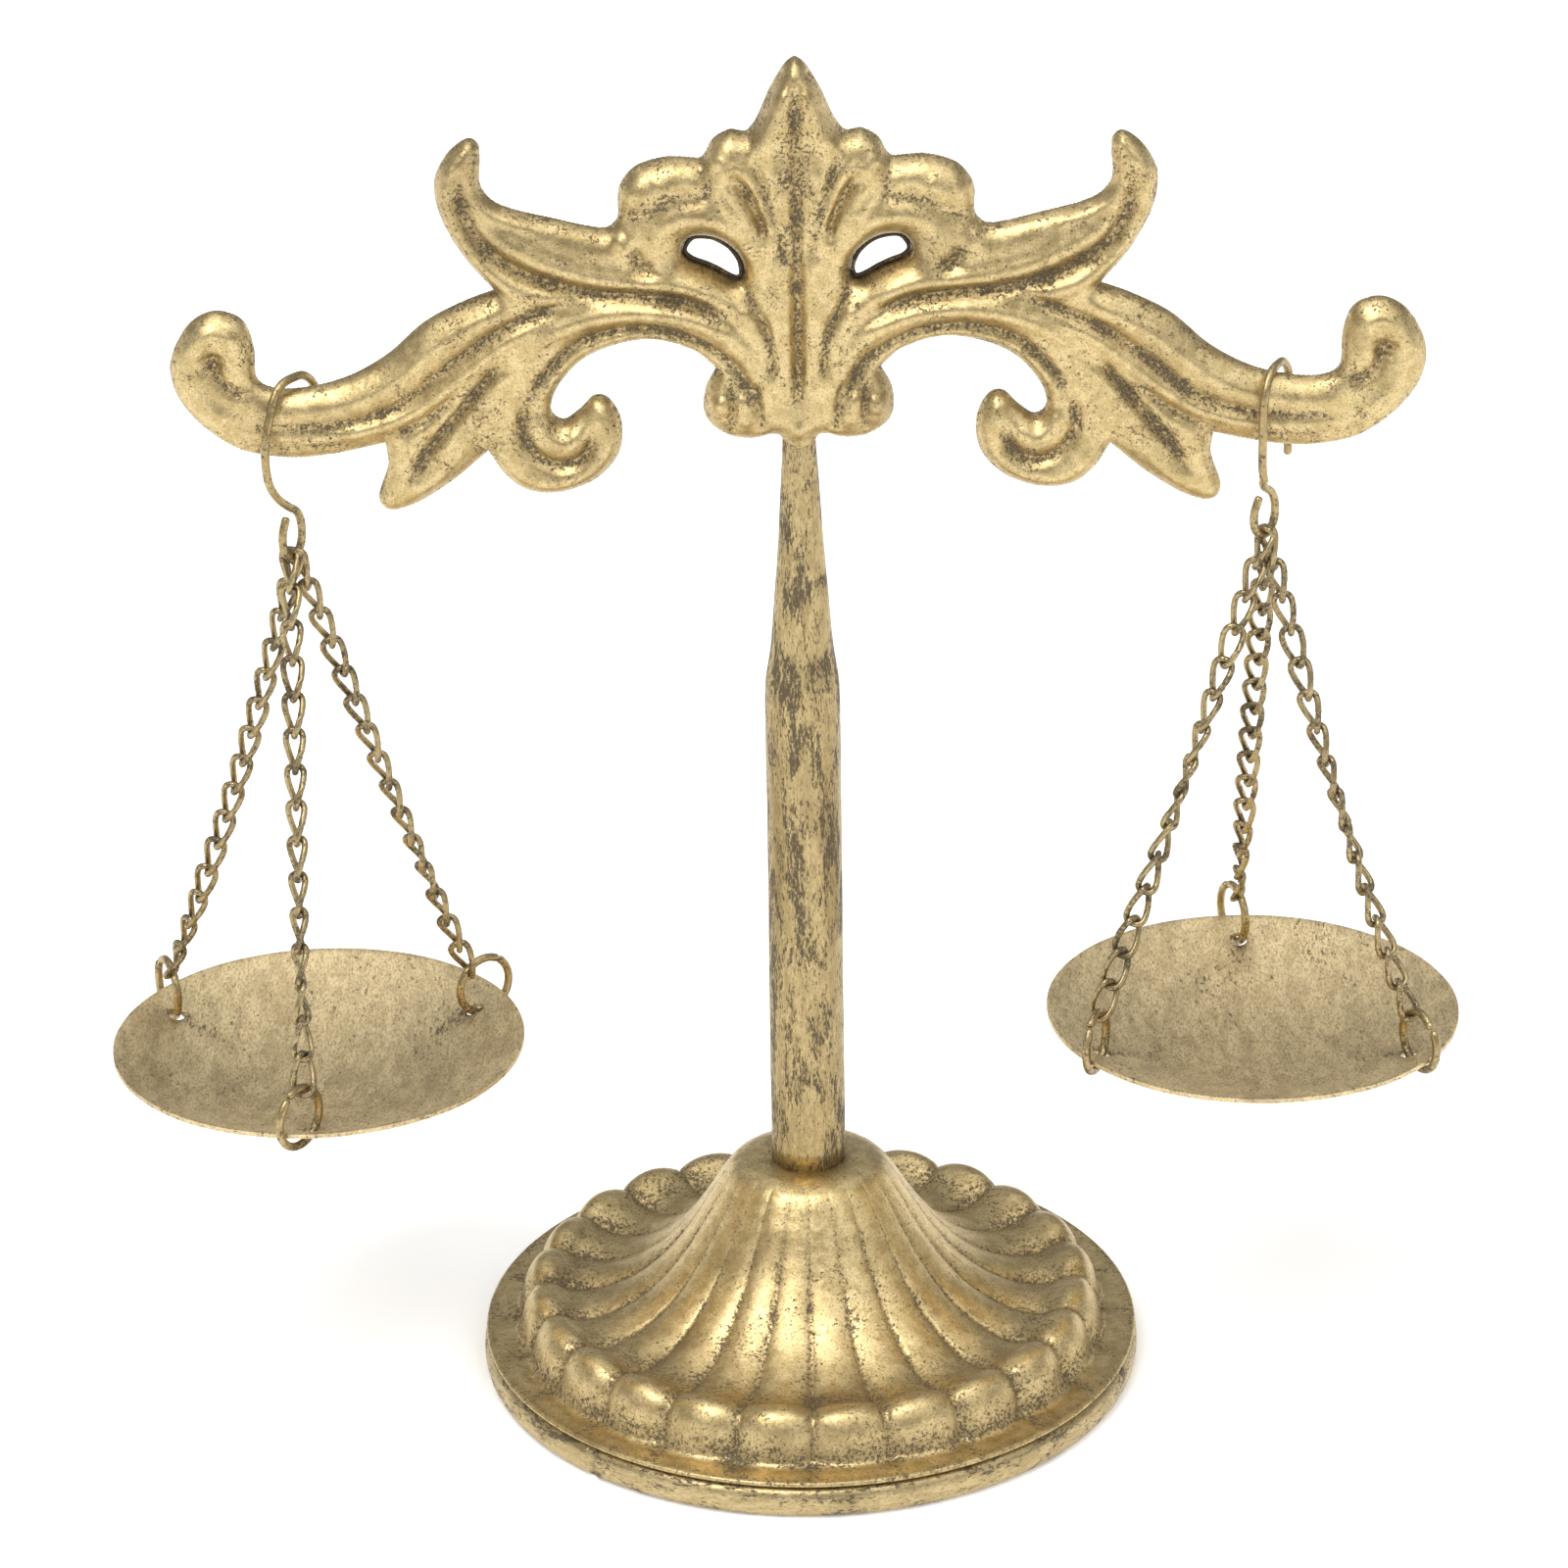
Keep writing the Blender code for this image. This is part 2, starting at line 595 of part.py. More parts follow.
def main():
    clear_scene()
    base_dome()
    base_rim_ring()
    post_tube()
    post_plug()
    post_bolt()
    bolt_washer()
    beam_shell("beam_front_shell", -1)
    beam_shell("beam_back_shell", 1)
    for word, side in SIDES.items():
        suspension(word, side)
    for obj in bpy.data.objects:
        if obj.parent is None:
            obj.location.x += POST_X * MM


main()
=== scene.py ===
import json
import math

import bpy
import numpy as np
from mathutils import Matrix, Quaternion, Vector, noise
from mathutils.geometry import delaunay_2d_cdt


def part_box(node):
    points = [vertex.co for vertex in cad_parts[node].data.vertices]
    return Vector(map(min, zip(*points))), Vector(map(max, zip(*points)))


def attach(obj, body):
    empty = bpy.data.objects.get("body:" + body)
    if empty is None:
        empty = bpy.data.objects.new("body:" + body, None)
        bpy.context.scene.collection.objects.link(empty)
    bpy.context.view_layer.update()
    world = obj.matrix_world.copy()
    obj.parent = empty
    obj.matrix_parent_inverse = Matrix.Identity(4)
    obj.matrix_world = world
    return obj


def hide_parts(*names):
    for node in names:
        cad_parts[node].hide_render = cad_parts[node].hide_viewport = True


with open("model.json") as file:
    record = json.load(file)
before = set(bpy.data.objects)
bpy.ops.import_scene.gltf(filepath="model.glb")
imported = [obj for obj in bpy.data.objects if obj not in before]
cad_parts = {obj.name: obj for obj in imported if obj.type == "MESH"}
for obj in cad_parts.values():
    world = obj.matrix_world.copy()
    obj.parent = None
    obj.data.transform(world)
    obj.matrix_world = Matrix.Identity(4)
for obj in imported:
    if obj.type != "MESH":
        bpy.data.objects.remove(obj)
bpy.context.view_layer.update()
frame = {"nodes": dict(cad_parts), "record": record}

# Everything below is in millimetres from the post's foot, unless it says otherwise.
MM = 0.001
UP = np.array([0.0, 0.0, 1.0])


def box_middle(node):
    low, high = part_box(node)
    return (np.array(low) + np.array(high)) / 2


def joint_place(name):
    for joint in frame["record"]["behaviour"]["joints"]:
        if joint["name"] == name:
            return np.array(joint["pos_m"])


POST_AXIS = box_middle("post_tube") * np.array([1, 1, 0])

# ---- mesh tools


def spline(points, step, closed=False):
    """Points about step apart on a smooth curve through points."""
    points = [np.array(p, float) for p in points]
    if closed:
        ends = [points[-1]] + points + points[:2]
    else:
        ends = [2 * points[0] - points[1]] + points + [2 * points[-1] - points[-2]]
    out = []
    for a, b, c, d in zip(ends, ends[1:], ends[2:], ends[3:]):
        count = max(1, round(float(np.linalg.norm(c - b)) / step))
        for t in np.arange(count) / count:
            out.append(0.5 * (2 * b + (c - a) * t + (2 * a - 5 * b + 4 * c - d) * t ** 2
                              + (3 * b - a - 3 * c + d) * t ** 3))
    if not closed:
        out.append(points[-1])
    return np.array(out)


def profile_curve(points, steps):
    """A smooth curve with the same number of steps in every span, however long."""
    points = np.array(points, float)
    knots = np.concatenate([[0], np.cumsum(np.linalg.norm(np.diff(points, axis=0), axis=1))])
    slopes = np.gradient(points, knots, axis=0)
    out = []
    for i in range(len(points) - 1):
        gap = knots[i + 1] - knots[i]
        for t in np.arange(steps) / steps:
            out.append((2 * t ** 3 - 3 * t ** 2 + 1) * points[i]
                       + (t ** 3 - 2 * t ** 2 + t) * gap * slopes[i]
                       + (3 * t ** 2 - 2 * t ** 3) * points[i + 1]
                       + (t ** 3 - t ** 2) * gap * slopes[i + 1])
    return np.array(out + [points[-1]])


def make_piece(name, verts, faces, material, body, nodes=(), dirt_and_painted_shade=None):
    """A smooth mesh from millimetres, riding on a body; the per-point darkening says where dirt stays and,
    on some pieces, where painted shade lies.
    """
    mesh = bpy.data.meshes.new(name)
    mesh.from_pydata((np.asarray(verts) * MM + POST_AXIS).tolist(), [], faces)
    mesh.validate()
    mesh.shade_smooth()
    if dirt_and_painted_shade is not None:
        layer = mesh.attributes.new("dirt_and_painted_shade", "FLOAT", "POINT")
        layer.data.foreach_set("value", np.asarray(dirt_and_painted_shade, float).astype(np.float32))
    piece = bpy.data.objects.new(name, mesh)
    piece.data.materials.append(material)
    bpy.context.collection.objects.link(piece)
    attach(piece, body)
    if nodes:
        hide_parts(*nodes)
    return piece


def tube(points, radius, sides, closed=False):
    """Verts and faces of a wire along points; radius may be one number or one a point."""
    points = np.asarray(points, float)
    count = len(points)
    radius = np.broadcast_to(np.asarray(radius, float), (count,))
    if closed:
        tangents = np.roll(points, -1, axis=0) - np.roll(points, 1, axis=0)
    else:
        tangents = np.gradient(points, axis=0)
    tangents /= np.linalg.norm(tangents, axis=1)[:, None]
    side = np.cross(tangents[0], UP if abs(tangents[0][2]) < 0.9 else np.array([1.0, 0, 0]))
    angles = np.arange(sides) * 2 * math.pi / sides
    verts = []
    for point, tangent, r in zip(points, tangents, radius):
        side = side - side.dot(tangent) * tangent
        side /= np.linalg.norm(side)
        other = np.cross(tangent, side)
        for a in angles:
            verts.append(point + r * (side * math.cos(a) + other * math.sin(a)))
    faces = []
    for i in range(count if closed else count - 1):
        j = (i + 1) % count
        for k in range(sides):
            n = (k + 1) % sides
            faces.append((i * sides + k, i * sides + n, j * sides + n, j * sides + k))
    if not closed:
        faces.append(tuple(range(sides))[::-1])
        faces.append(tuple((count - 1) * sides + k for k in range(sides)))
    return np.array(verts), faces


def rounded_wire(points, radius, sides):
    """A wire whose two cut ends are rounded over."""
    points = np.asarray(points, float)
    bend = np.array([0.0, 0.12, 0.4, 0.75]) * radius
    swell = np.array([0.45, 0.72, 0.93, 1.0])
    first = (points[1] - points[0]) / np.linalg.norm(points[1] - points[0])
    last = (points[-2] - points[-1]) / np.linalg.norm(points[-2] - points[-1])
    head = [points[0] + first * b for b in bend]
    tail = [points[-1] + last * b for b in bend[::-1]]
    middle = [p for p in points[1:-1]
              if np.linalg.norm(p - points[0]) > radius and np.linalg.norm(p - points[-1]) > radius]
    radii = np.concatenate([swell, np.ones(len(middle)), swell[::-1]]) * radius
    return tube(head + middle + tail, radii, sides)


def joined(parts):
    """One list of verts and faces from several."""
    verts, faces, start = [], [], 0
    for part_verts, part_faces in parts:
        verts.append(part_verts)
        faces += [tuple(start + i for i in face) for face in part_faces]
        start += len(part_verts)
    return np.concatenate(verts), faces


def turned_faces(rows, segments):
    faces = []
    for k in range(segments):
        n = (k + 1) % segments
        for i in range(rows):
            j = (i + 1) % rows
            faces.append((k * rows + i, k * rows + j, n * rows + j, n * rows + i))
    return faces


def turned(profile, segments, shape=None):
    """A closed (radius, z) profile turned about the post; shape may move each ring's points."""
    profile = np.asarray(profile, float)
    verts = []
    for k in range(segments):
        a = 2 * math.pi * k / segments
        ring = profile if shape is None else shape(profile.copy(), a)
        verts += [(r * math.cos(a), r * math.sin(a), z) for r, z in ring]
    return np.array(verts), turned_faces(len(profile), segments)


def distance_to_line(points, line, closed=False):
    """Distance of each point to a polyline, and how far along it the nearest spot is."""
    ends = np.roll(line, -1, axis=0) if closed else line[1:]
    starts = line if closed else line[:-1]
    best = np.full(len(points), 1e9)
    place = np.zeros(len(points))
    for i, (a, b) in enumerate(zip(starts, ends)):
        along = b - a
        t = np.clip(((points - a) @ along) / (along @ along), 0, 1)
        far = np.linalg.norm(points - a - t[:, None] * along, axis=1)
        nearer = far < best
        best[nearer] = far[nearer]
        place[nearer] = (i + t[nearer]) / len(starts)
    return best, place


def inside_loop(points, loop):
    hit = np.zeros(len(points), bool)
    x, z = points[:, 0], points[:, 1]
    for a, b in zip(loop, np.roll(loop, -1, axis=0)):
        if a[1] == b[1]:
            continue
        crosses = (a[1] > z) != (b[1] > z)
        hit ^= crosses & (x < a[0] + (z - a[1]) / (b[1] - a[1]) * (b[0] - a[0]))
    return hit


def thinned(points, cell):
    """The points with no two in one cell of a square grid."""
    keep = {}
    for p in points:
        keep.setdefault((round(p[0] / cell), round(p[1] / cell)), p)
    return np.array(list(keep.values()))


def triangulated(loops, filling):
    """Triangles between loops of points, using the filling points inside; loops[1:] stay open."""
    points = np.concatenate(list(loops) + [filling])
    edges, start = [], 0
    for loop in loops:
        edges += [(start + i, start + (i + 1) % len(loop)) for i in range(len(loop))]
        start += len(loop)
    coords, _, triangles, _, _, _ = delaunay_2d_cdt([Vector(p) for p in points], edges, [], 2, 1e-7)
    coords = np.array([tuple(c) for c in coords])
    middles = np.array([coords[list(f)].mean(axis=0) for f in triangles])
    keep = inside_loop(middles, loops[0])
    for loop in loops[1:]:
        keep &= ~inside_loop(middles, loop)
    return coords, [tuple(f) for f, k in zip(triangles, keep) if k]


def border_of(faces):
    """Directed edges that only one face uses."""
    used = set()
    for face in faces:
        for a, b in zip(face, face[1:] + face[:1]):
            used.add((a, b))
    return [(a, b) for a, b in used if (b, a) not in used]


def sheet_solid(top, under, faces):
    """A closed sheet between two point sets that share the same triangles."""
    count = len(top)
    out = list(faces) + [tuple(i + count for i in face[::-1]) for face in faces]
    out += [(b, a, a + count, b + count) for a, b in border_of(faces)]
    return np.concatenate([top, under]), out


def unevenness(points, size, seed):
    """Smooth noise in -1..1 at each point, with features about size across."""
    return np.array([noise.noise(Vector((p[0] / size + seed, p[1] / size, p[-1] / size + 7)))
                     for p in points])


# ---- materials


def socket(node, name):
    return next(s for s in node.inputs if s.identifier == name or s.name == name)


class Shader:
    """A node tree built from short calls, all in object space."""

    def __init__(self, name):
        self.material = bpy.data.materials.new(name)
        self.material.use_nodes = True
        self.nodes = self.material.node_tree.nodes
        self.links = self.material.node_tree.links
        self.surface = self.nodes["Principled BSDF"]
        self.place = self.nodes.new("ShaderNodeTexCoord").outputs["Object"]

    def put(self, value, target):
        if isinstance(value, bpy.types.NodeSocket):
            self.links.new(value, target)
        else:
            target.default_value = value

    def stretched(self, x, y, z):
        node = self.nodes.new("ShaderNodeMapping")
        self.links.new(self.place, node.inputs["Vector"])
        node.inputs["Scale"].default_value = (x, y, z)
        return node.outputs["Vector"]

    def noise(self, size, detail=3.0, rough=0.55, vector=None, twist=0.0):
        """Noise in 0..1 whose features are about size millimetres across."""
        node = self.nodes.new("ShaderNodeTexNoise")
        self.links.new(vector or self.place, node.inputs["Vector"])
        node.inputs["Scale"].default_value = 1 / (size * MM)
        node.inputs["Detail"].default_value = detail
        node.inputs["Roughness"].default_value = rough
        node.inputs["Distortion"].default_value = twist
        return node.outputs["Fac"]

    def math(self, operation, a, b=0.0, c=0.0, clamp=False):
        node = self.nodes.new("ShaderNodeMath")
        node.operation = operation
        node.use_clamp = clamp
        for value, target in zip((a, b, c), node.inputs):
            self.put(value, target)
        return node.outputs[0]

    def step(self, value, low, high):
        """0 below low, 1 above high, smooth between."""
        node = self.nodes.new("ShaderNodeMapRange")
        node.interpolation_type = "SMOOTHSTEP"
        self.links.new(value, node.inputs["Value"])
        self.put(low, node.inputs["From Min"])
        self.put(high, node.inputs["From Max"])
        return node.outputs["Result"]

    def mix(self, amount, a, b):
        node = self.nodes.new("ShaderNodeMix")
        node.data_type = "RGBA"
        self.put(amount, node.inputs["Factor"])
        for value, name in ((a, "A_Color"), (b, "B_Color")):
            target = next(s for s in node.inputs if s.identifier == name)
            self.put(value if isinstance(value, bpy.types.NodeSocket) else (*value, 1.0), target)
        return next(s for s in node.outputs if s.identifier == "Result_Color")

    def attribute(self, name):
        node = self.nodes.new("ShaderNodeAttribute")
        node.attribute_name = name
        return node.outputs["Fac"]

    def bump(self, height, depth, before=None):
        """Bump of depth millimetres for a height of 0..1."""
        node = self.nodes.new("ShaderNodeBump")
        node.inputs["Distance"].default_value = depth * MM
        self.links.new(height, node.inputs["Height"])
        if before is not None:
            self.links.new(before, node.inputs["Normal"])
        return node.outputs["Normal"]

    def finish(self, colour, rough, metal, normal):
        for value, name in ((colour, "Base Color"), (rough, "Roughness"), (metal, "Metallic"),
                            (normal, "Normal")):
            self.put(value, socket(self.surface, name))
        return self.material


GOLD_LIGHT = (0.76, 0.60, 0.31)
GOLD_MID = (0.57, 0.435, 0.20)
GOLD_DEEP = (0.33, 0.24, 0.12)
PATINA = (0.045, 0.034, 0.024)


def antique_gold(name, light=GOLD_LIGHT, middle=GOLD_MID, deep=GOLD_DEEP, stretch=(1, 1, 1),
                 specks=0.5, dirt_and_painted_shade=1.0, polish=0.36, grain=0.05):
    """Satin antique gold: cloudy, with dark patina specks that gather in the hollows and in the painted
    shade that some pieces carry.
    """
    s = Shader(name)
    place = s.stretched(*stretch)
    # per-point darkening from the mesh: dirt in hollows, and painted shade on some pieces
    darkening = s.math("MULTIPLY", s.attribute("dirt_and_painted_shade"), dirt_and_painted_shade)
    clouds = s.noise(15, 4, 0.6, place)
    mottle = s.noise(2.2, 5, 0.65, place, 0.4)
    fine = s.noise(0.62, 6, 0.75, place, 0.3)
    tiny = s.noise(0.36, 4, 0.8, place)
    # worn gold, speckled and washed with its deep tone, most in the hollows and in painted shade
    colour = s.mix(s.step(mottle, 0.36, 0.62), middle, light)
    colour = s.mix(s.math("MULTIPLY", s.step(tiny, 0.46, 0.60), 0.55), colour, deep)
    wash = s.math("MULTIPLY_ADD", darkening, 0.5, s.step(clouds, 0.50, 0.78), clamp=True)
    colour = s.mix(s.math("MULTIPLY", wash, 0.70), colour, deep)
    # patina specks, crowded in patches, in hollows and in painted shade
    patches = s.step(s.noise(6, 4, 0.62, place, 0.8), 0.42, 0.68)
    crowd = s.math("MULTIPLY_ADD", patches, 0.15 * specks, s.math("MULTIPLY", darkening, 0.125))
    edge = s.math("SUBTRACT", 0.605, crowd)
    dark = s.step(fine, edge, s.math("ADD", edge, 0.06))
    dot_edge = s.math("MULTIPLY_ADD", crowd, -0.7, 0.655)
    dots = s.step(tiny, dot_edge, s.math("ADD", dot_edge, 0.05))
    dark = s.math("MAXIMUM", dark, s.math("MULTIPLY", dots, 0.8))
    colour = s.mix(s.math("MULTIPLY", dark, 0.80), colour, PATINA)
    rough = s.math("MULTIPLY_ADD", mottle, 0.22, polish - 0.10)
    rough = s.math("MULTIPLY_ADD", dark, 0.22, rough, clamp=True)
    metal = s.math("MULTIPLY_ADD", dark, -0.5, 1.0)
    normal = s.bump(s.noise(3.5, 3, 0.5, place), grain * 2.4)
    normal = s.bump(s.math("MULTIPLY_ADD", dark, -0.5, fine), grain, normal)
    return s.finish(colour, rough, metal, normal)


def zinc(name):
    s = Shader(name)
    spangle = s.noise(1.6, 4, 0.6)
    brushed = s.noise(0.5, 4, 0.6, s.stretched(1, 1, 0.1))
    colour = s.mix(s.step(spangle, 0.3, 0.7), (0.36, 0.36, 0.35), (0.58, 0.57, 0.55))
    rough = s.math("MULTIPLY_ADD", brushed, 0.25, 0.28)
    return s.finish(colour, rough, 1.0, s.bump(brushed, 0.02))


FLOOR_GLOW = 0.32             # keeps the sheet white where the scale shades it


def paper_floor(name):
    s = Shader(name)
    fibre = s.noise(1.2, 5, 0.6)
    cloud = s.noise(120, 2, 0.5)
    colour = s.mix(s.step(cloud, 0.2, 0.8), (0.93, 0.93, 0.93), (0.955, 0.955, 0.955))
    socket(s.surface, "Emission Color").default_value = (1, 1, 1, 1)
    socket(s.surface, "Emission Strength").default_value = FLOOR_GLOW
    return s.finish(colour, 0.85, 0.0, s.bump(fibre, 0.02))


# ---- base

LOBES = 24
LOBE_COLUMNS = 18
PROFILE_STEPS = 4
FLUTE_FULLNESS = 0.62         # under 1 the flutes are fuller than a sine
CREST = [(2.6, 39.8), (12.0, 39.8), (13.6, 39.0), (16.0, 36.0), (20.0, 29.6), (24.0, 24.0),
         (29.0, 18.9), (35.0, 15.3), (40.5, 13.9), (44.5, 14.4), (47.6, 16.0), (50.2, 15.9),
         (52.2, 13.6), (53.4, 9.6), (54.3, 7.4), (57.0, 7.2)]
GROOVE = [(2.6, 39.8), (12.0, 39.8), (13.6, 38.9), (16.0, 35.7), (20.0, 29.1), (24.0, 23.3),
          (29.0, 18.0), (35.0, 14.2), (40.5, 12.7), (44.5, 13.0), (47.4, 14.2), (49.3, 13.9),
          (50.8, 12.0), (51.8, 9.3), (53.0, 7.4), (57.0, 7.2)]
FLANGE_EDGE = [(58.6, 7.15), (59.2, 7.25), (59.55, 7.0), (59.6, 6.65), (59.4, 6.35), (58.9, 6.3)]
DOME_INSIDE = [(51.3, 6.4), (49.9, 9.4), (48.0, 11.3), (41.0, 11.5), (34.0, 13.3),
               (28.0, 17.3), (22.6, 23.4), (16.0, 33.0), (13.0, 37.8), (11.5, 38.8), (2.6, 38.8)]


def dome(material):
    """Stamped dome of rounded flutes that swell into knuckles over the flange."""
    crest, groove = profile_curve(CREST, PROFILE_STEPS), profile_curve(GROOVE, PROFILE_STEPS)
    tail = np.array(FLANGE_EDGE + DOME_INSIDE)
    columns = LOBES * LOBE_COLUMNS
    verts, dirt_and_painted_shade = [], []
    for k in range(columns):
        a = 2 * math.pi * k / columns
        lobe, part = divmod(k, LOBE_COLUMNS)
        arch = math.sin(math.pi * part / LOBE_COLUMNS)
        swell = arch ** FLUTE_FULLNESS
        swell *= 1 + 0.05 * math.sin(lobe * 2.4) + 0.04 * math.sin(lobe * 5.1 + 1)
        line = groove + (crest - groove) * swell
        ring = np.concatenate([line, tail])
        verts += [(r * math.cos(a), r * math.sin(a), z) for r, z in ring]
        for r, z in line:
            flute = (1 - arch) ** 2.2 * min(1.0, max(0.0, (r - 13) / 8))
            valley = 0.55 * math.exp(-((r - 43.5) / 4.5) ** 2)
            foot = 0.8 * math.exp(-((r - 53.6) / 0.9) ** 2)
            neck = 0.5 * math.exp(-((r - 7.2) / 1.6) ** 2)
            dirt_and_painted_shade.append(min(1.0, 0.95 * flute + valley + foot + neck))
        dirt_and_painted_shade += [0.5] * len(tail)
    verts = np.array(verts)
    verts[:, 2] += 0.10 * unevenness(verts, 9, 3) * (verts[:, 2] > 8)
    faces = [face[::-1] for face in turned_faces(len(crest) + len(tail), columns)]
    return make_piece("dome_fluted", verts, faces, material, "stand",
                      ["base_dome"], dirt_and_painted_shade)


NOTCH_BEARING = math.radians(229)
RIM_RADIUS = 60.0
RIM_COLUMNS = 360
RIM_PROFILE = [(54.0, 6.0), (57.6, 6.0), (58.7, 5.8), (59.45, 5.3), (59.85, 4.5), (60.0, 3.6),
               (60.0, 2.6), (59.85, 1.6), (59.45, 0.8), (58.7, 0.2), (57.6, 0.0), (54.0, 0.0)]
RIM_CAVITY = [0.85, 0.8, 0.62, 0.4, 0.22, 0.15, 0.15, 0.2, 0.35, 0.6, 0.8, 0.8]


def rim_ring(material):
    """Bullnose ring under the flange, with the notch of its closing weld."""
    def shape(ring, a):
        turn = (a - NOTCH_BEARING + math.pi) % (2 * math.pi) - math.pi
        arc = turn * RIM_RADIUS
        outer = np.clip((ring[:, 0] - 56) / 4, 0, 1)
        dent = 0.7 * math.exp(-(arc / 0.7) ** 2) - 0.35 * math.exp(-((arc - 1.8) / 0.9) ** 2)
        ring[:, 0] -= (dent + 0.35 * max(0, dent)) * outer * (ring[:, 1] > 0.5)
        ring[:, 0] = np.minimum(ring[:, 0], RIM_RADIUS)
        return ring

    verts, faces = turned(RIM_PROFILE, RIM_COLUMNS, shape)
    return make_piece("rim_ring_bullnose", verts, [f[::-1] for f in faces], material, "stand",
                      ["base_rim_ring"], RIM_CAVITY * RIM_COLUMNS)


# ---- post

POST_PROFILE = [(6.64, 40.1), (6.64, 60.0), (6.64, 80.0), (6.64, 100.0), (6.64, 115.0),
                (6.64, 126.0), (6.62, 131.0), (6.45, 134.4), (6.02, 137.2), (5.55, 140.3),
                (5.2, 144.0), (4.65, 151.0), (3.9, 160.4), (3.36, 169.5), (2.85, 178.6),
                (2.6, 186.5)]
POST_INSIDE = [(5.6, 40.1), (5.6, 133.0), (4.1, 144.0), (1.8, 178.6), (1.6, 186.5)]
POST_COLUMNS = 96
TUBE_FOOT = POST_PROFILE[0][1]
NECK_HEIGHT = 137.0           # the tube is drawn down from here


def post(material):
    """Drawn tube; faint flats and dents keep it from being a perfect cylinder."""
    outside = profile_curve(POST_PROFILE, 6)[::-1]
    profile = np.concatenate([outside, np.array(POST_INSIDE)])
    rows = len(outside)

    def shape(ring, a):
        z = ring[:rows, 1]
        spread = 0.05 * np.sin(2 * a + z / 23) + 0.03 * np.sin(3 * a - z / 9)
        ring[:rows, 0] += spread * np.clip((z - 42) / 10, 0, 1)
        return ring

    verts, faces = turned(profile, POST_COLUMNS, shape)
    height = verts[:, 2]
    angle = np.arctan2(verts[:, 1], verts[:, 0])
    dirt_and_painted_shade = 0.25 + 0.75 * np.exp(-((height - TUBE_FOOT) / 1.2) ** 2)
    # darker round the neck, and painted shade towards the top, under the beam
    dirt_and_painted_shade += 0.35 * np.exp(-((height - NECK_HEIGHT) / 5) ** 2) + 0.35 * np.clip((height - 165) / 14, 0, 1)
    # painted shade: darker down the left and right sides, as seen from the front
    dirt_and_painted_shade += 0.25 * np.cos(angle) ** 2
    return make_piece("post_drawn_tube", verts, [f[::-1] for f in faces], material, "stand",
                      ["post_tube"], np.clip(dirt_and_painted_shade, 0, 1))


# ---- beam

# The left half of the outline, in runs of (x, z) that meet at sharp notches.
HALF_OUTLINE = [
    [(0.0, 246.9), (-1.7, 245.7), (-4.2, 241.6), (-6.5, 236.4), (-8.3, 233.9)],
    [(-8.3, 233.9), (-11.2, 234.3), (-13.9, 232.8), (-15.0, 230.8), (-16.0, 229.4)],
    [(-16.0, 229.4), (-22.0, 229.7), (-27.2, 228.0), (-29.8, 224.4), (-30.0, 220.0),
     (-30.9, 218.3), (-33.2, 217.4), (-41.0, 219.2), (-49.6, 221.6), (-52.9, 225.0),
     (-52.9, 229.6), (-53.1, 232.4), (-55.0, 233.4), (-58.4, 230.8), (-60.7, 226.0),
     (-59.9, 219.8), (-56.3, 212.8), (-51.3, 206.7)],
    [(-51.3, 206.7), (-57.0, 204.5), (-63.5, 201.0), (-70.0, 195.3), (-77.0, 191.4),
     (-84.0, 189.6), (-89.6, 189.6), (-92.3, 191.6), (-92.5, 197.0), (-94.2, 201.8),
     (-98.8, 203.5), (-103.4, 201.2), (-106.7, 195.0), (-106.2, 189.0), (-102.4, 183.4),
     (-96.0, 178.7), (-88.0, 177.0), (-80.0, 177.5), (-70.9, 179.4)],
    [(-70.9, 179.4), (-70.6, 175.4), (-72.4, 169.6), (-70.6, 167.2), (-66.0, 168.3),
     (-59.5, 172.4), (-53.3, 177.7)],
    [(-53.3, 177.7), (-50.6, 173.4), (-46.8, 170.5), (-41.4, 170.0), (-35.2, 172.2),
     (-31.0, 176.8), (-30.3, 182.6), (-32.3, 186.8), (-35.0, 187.4), (-37.4, 185.1),
     (-40.3, 183.2), (-42.3, 185.2), (-40.6, 189.9), (-35.2, 195.0), (-26.0, 197.6),
     (-18.3, 195.8), (-14.0, 192.3)],
    [(-14.0, 192.3), (-16.0, 188.2), (-15.8, 183.2), (-12.0, 180.2), (-7.6, 179.6),
     (-4.4, 180.5)],
    [(-4.4, 180.5), (-3.4, 180.3), (-1.7, 179.2), (0.0, 178.4)],
]
WINDOW = [(-19.3, 213.6), (-17.6, 215.9), (-13.6, 215.6), (-10.2, 213.0), (-9.0, 209.6),
          (-10.3, 208.0), (-14.6, 210.2), (-18.3, 211.8)]

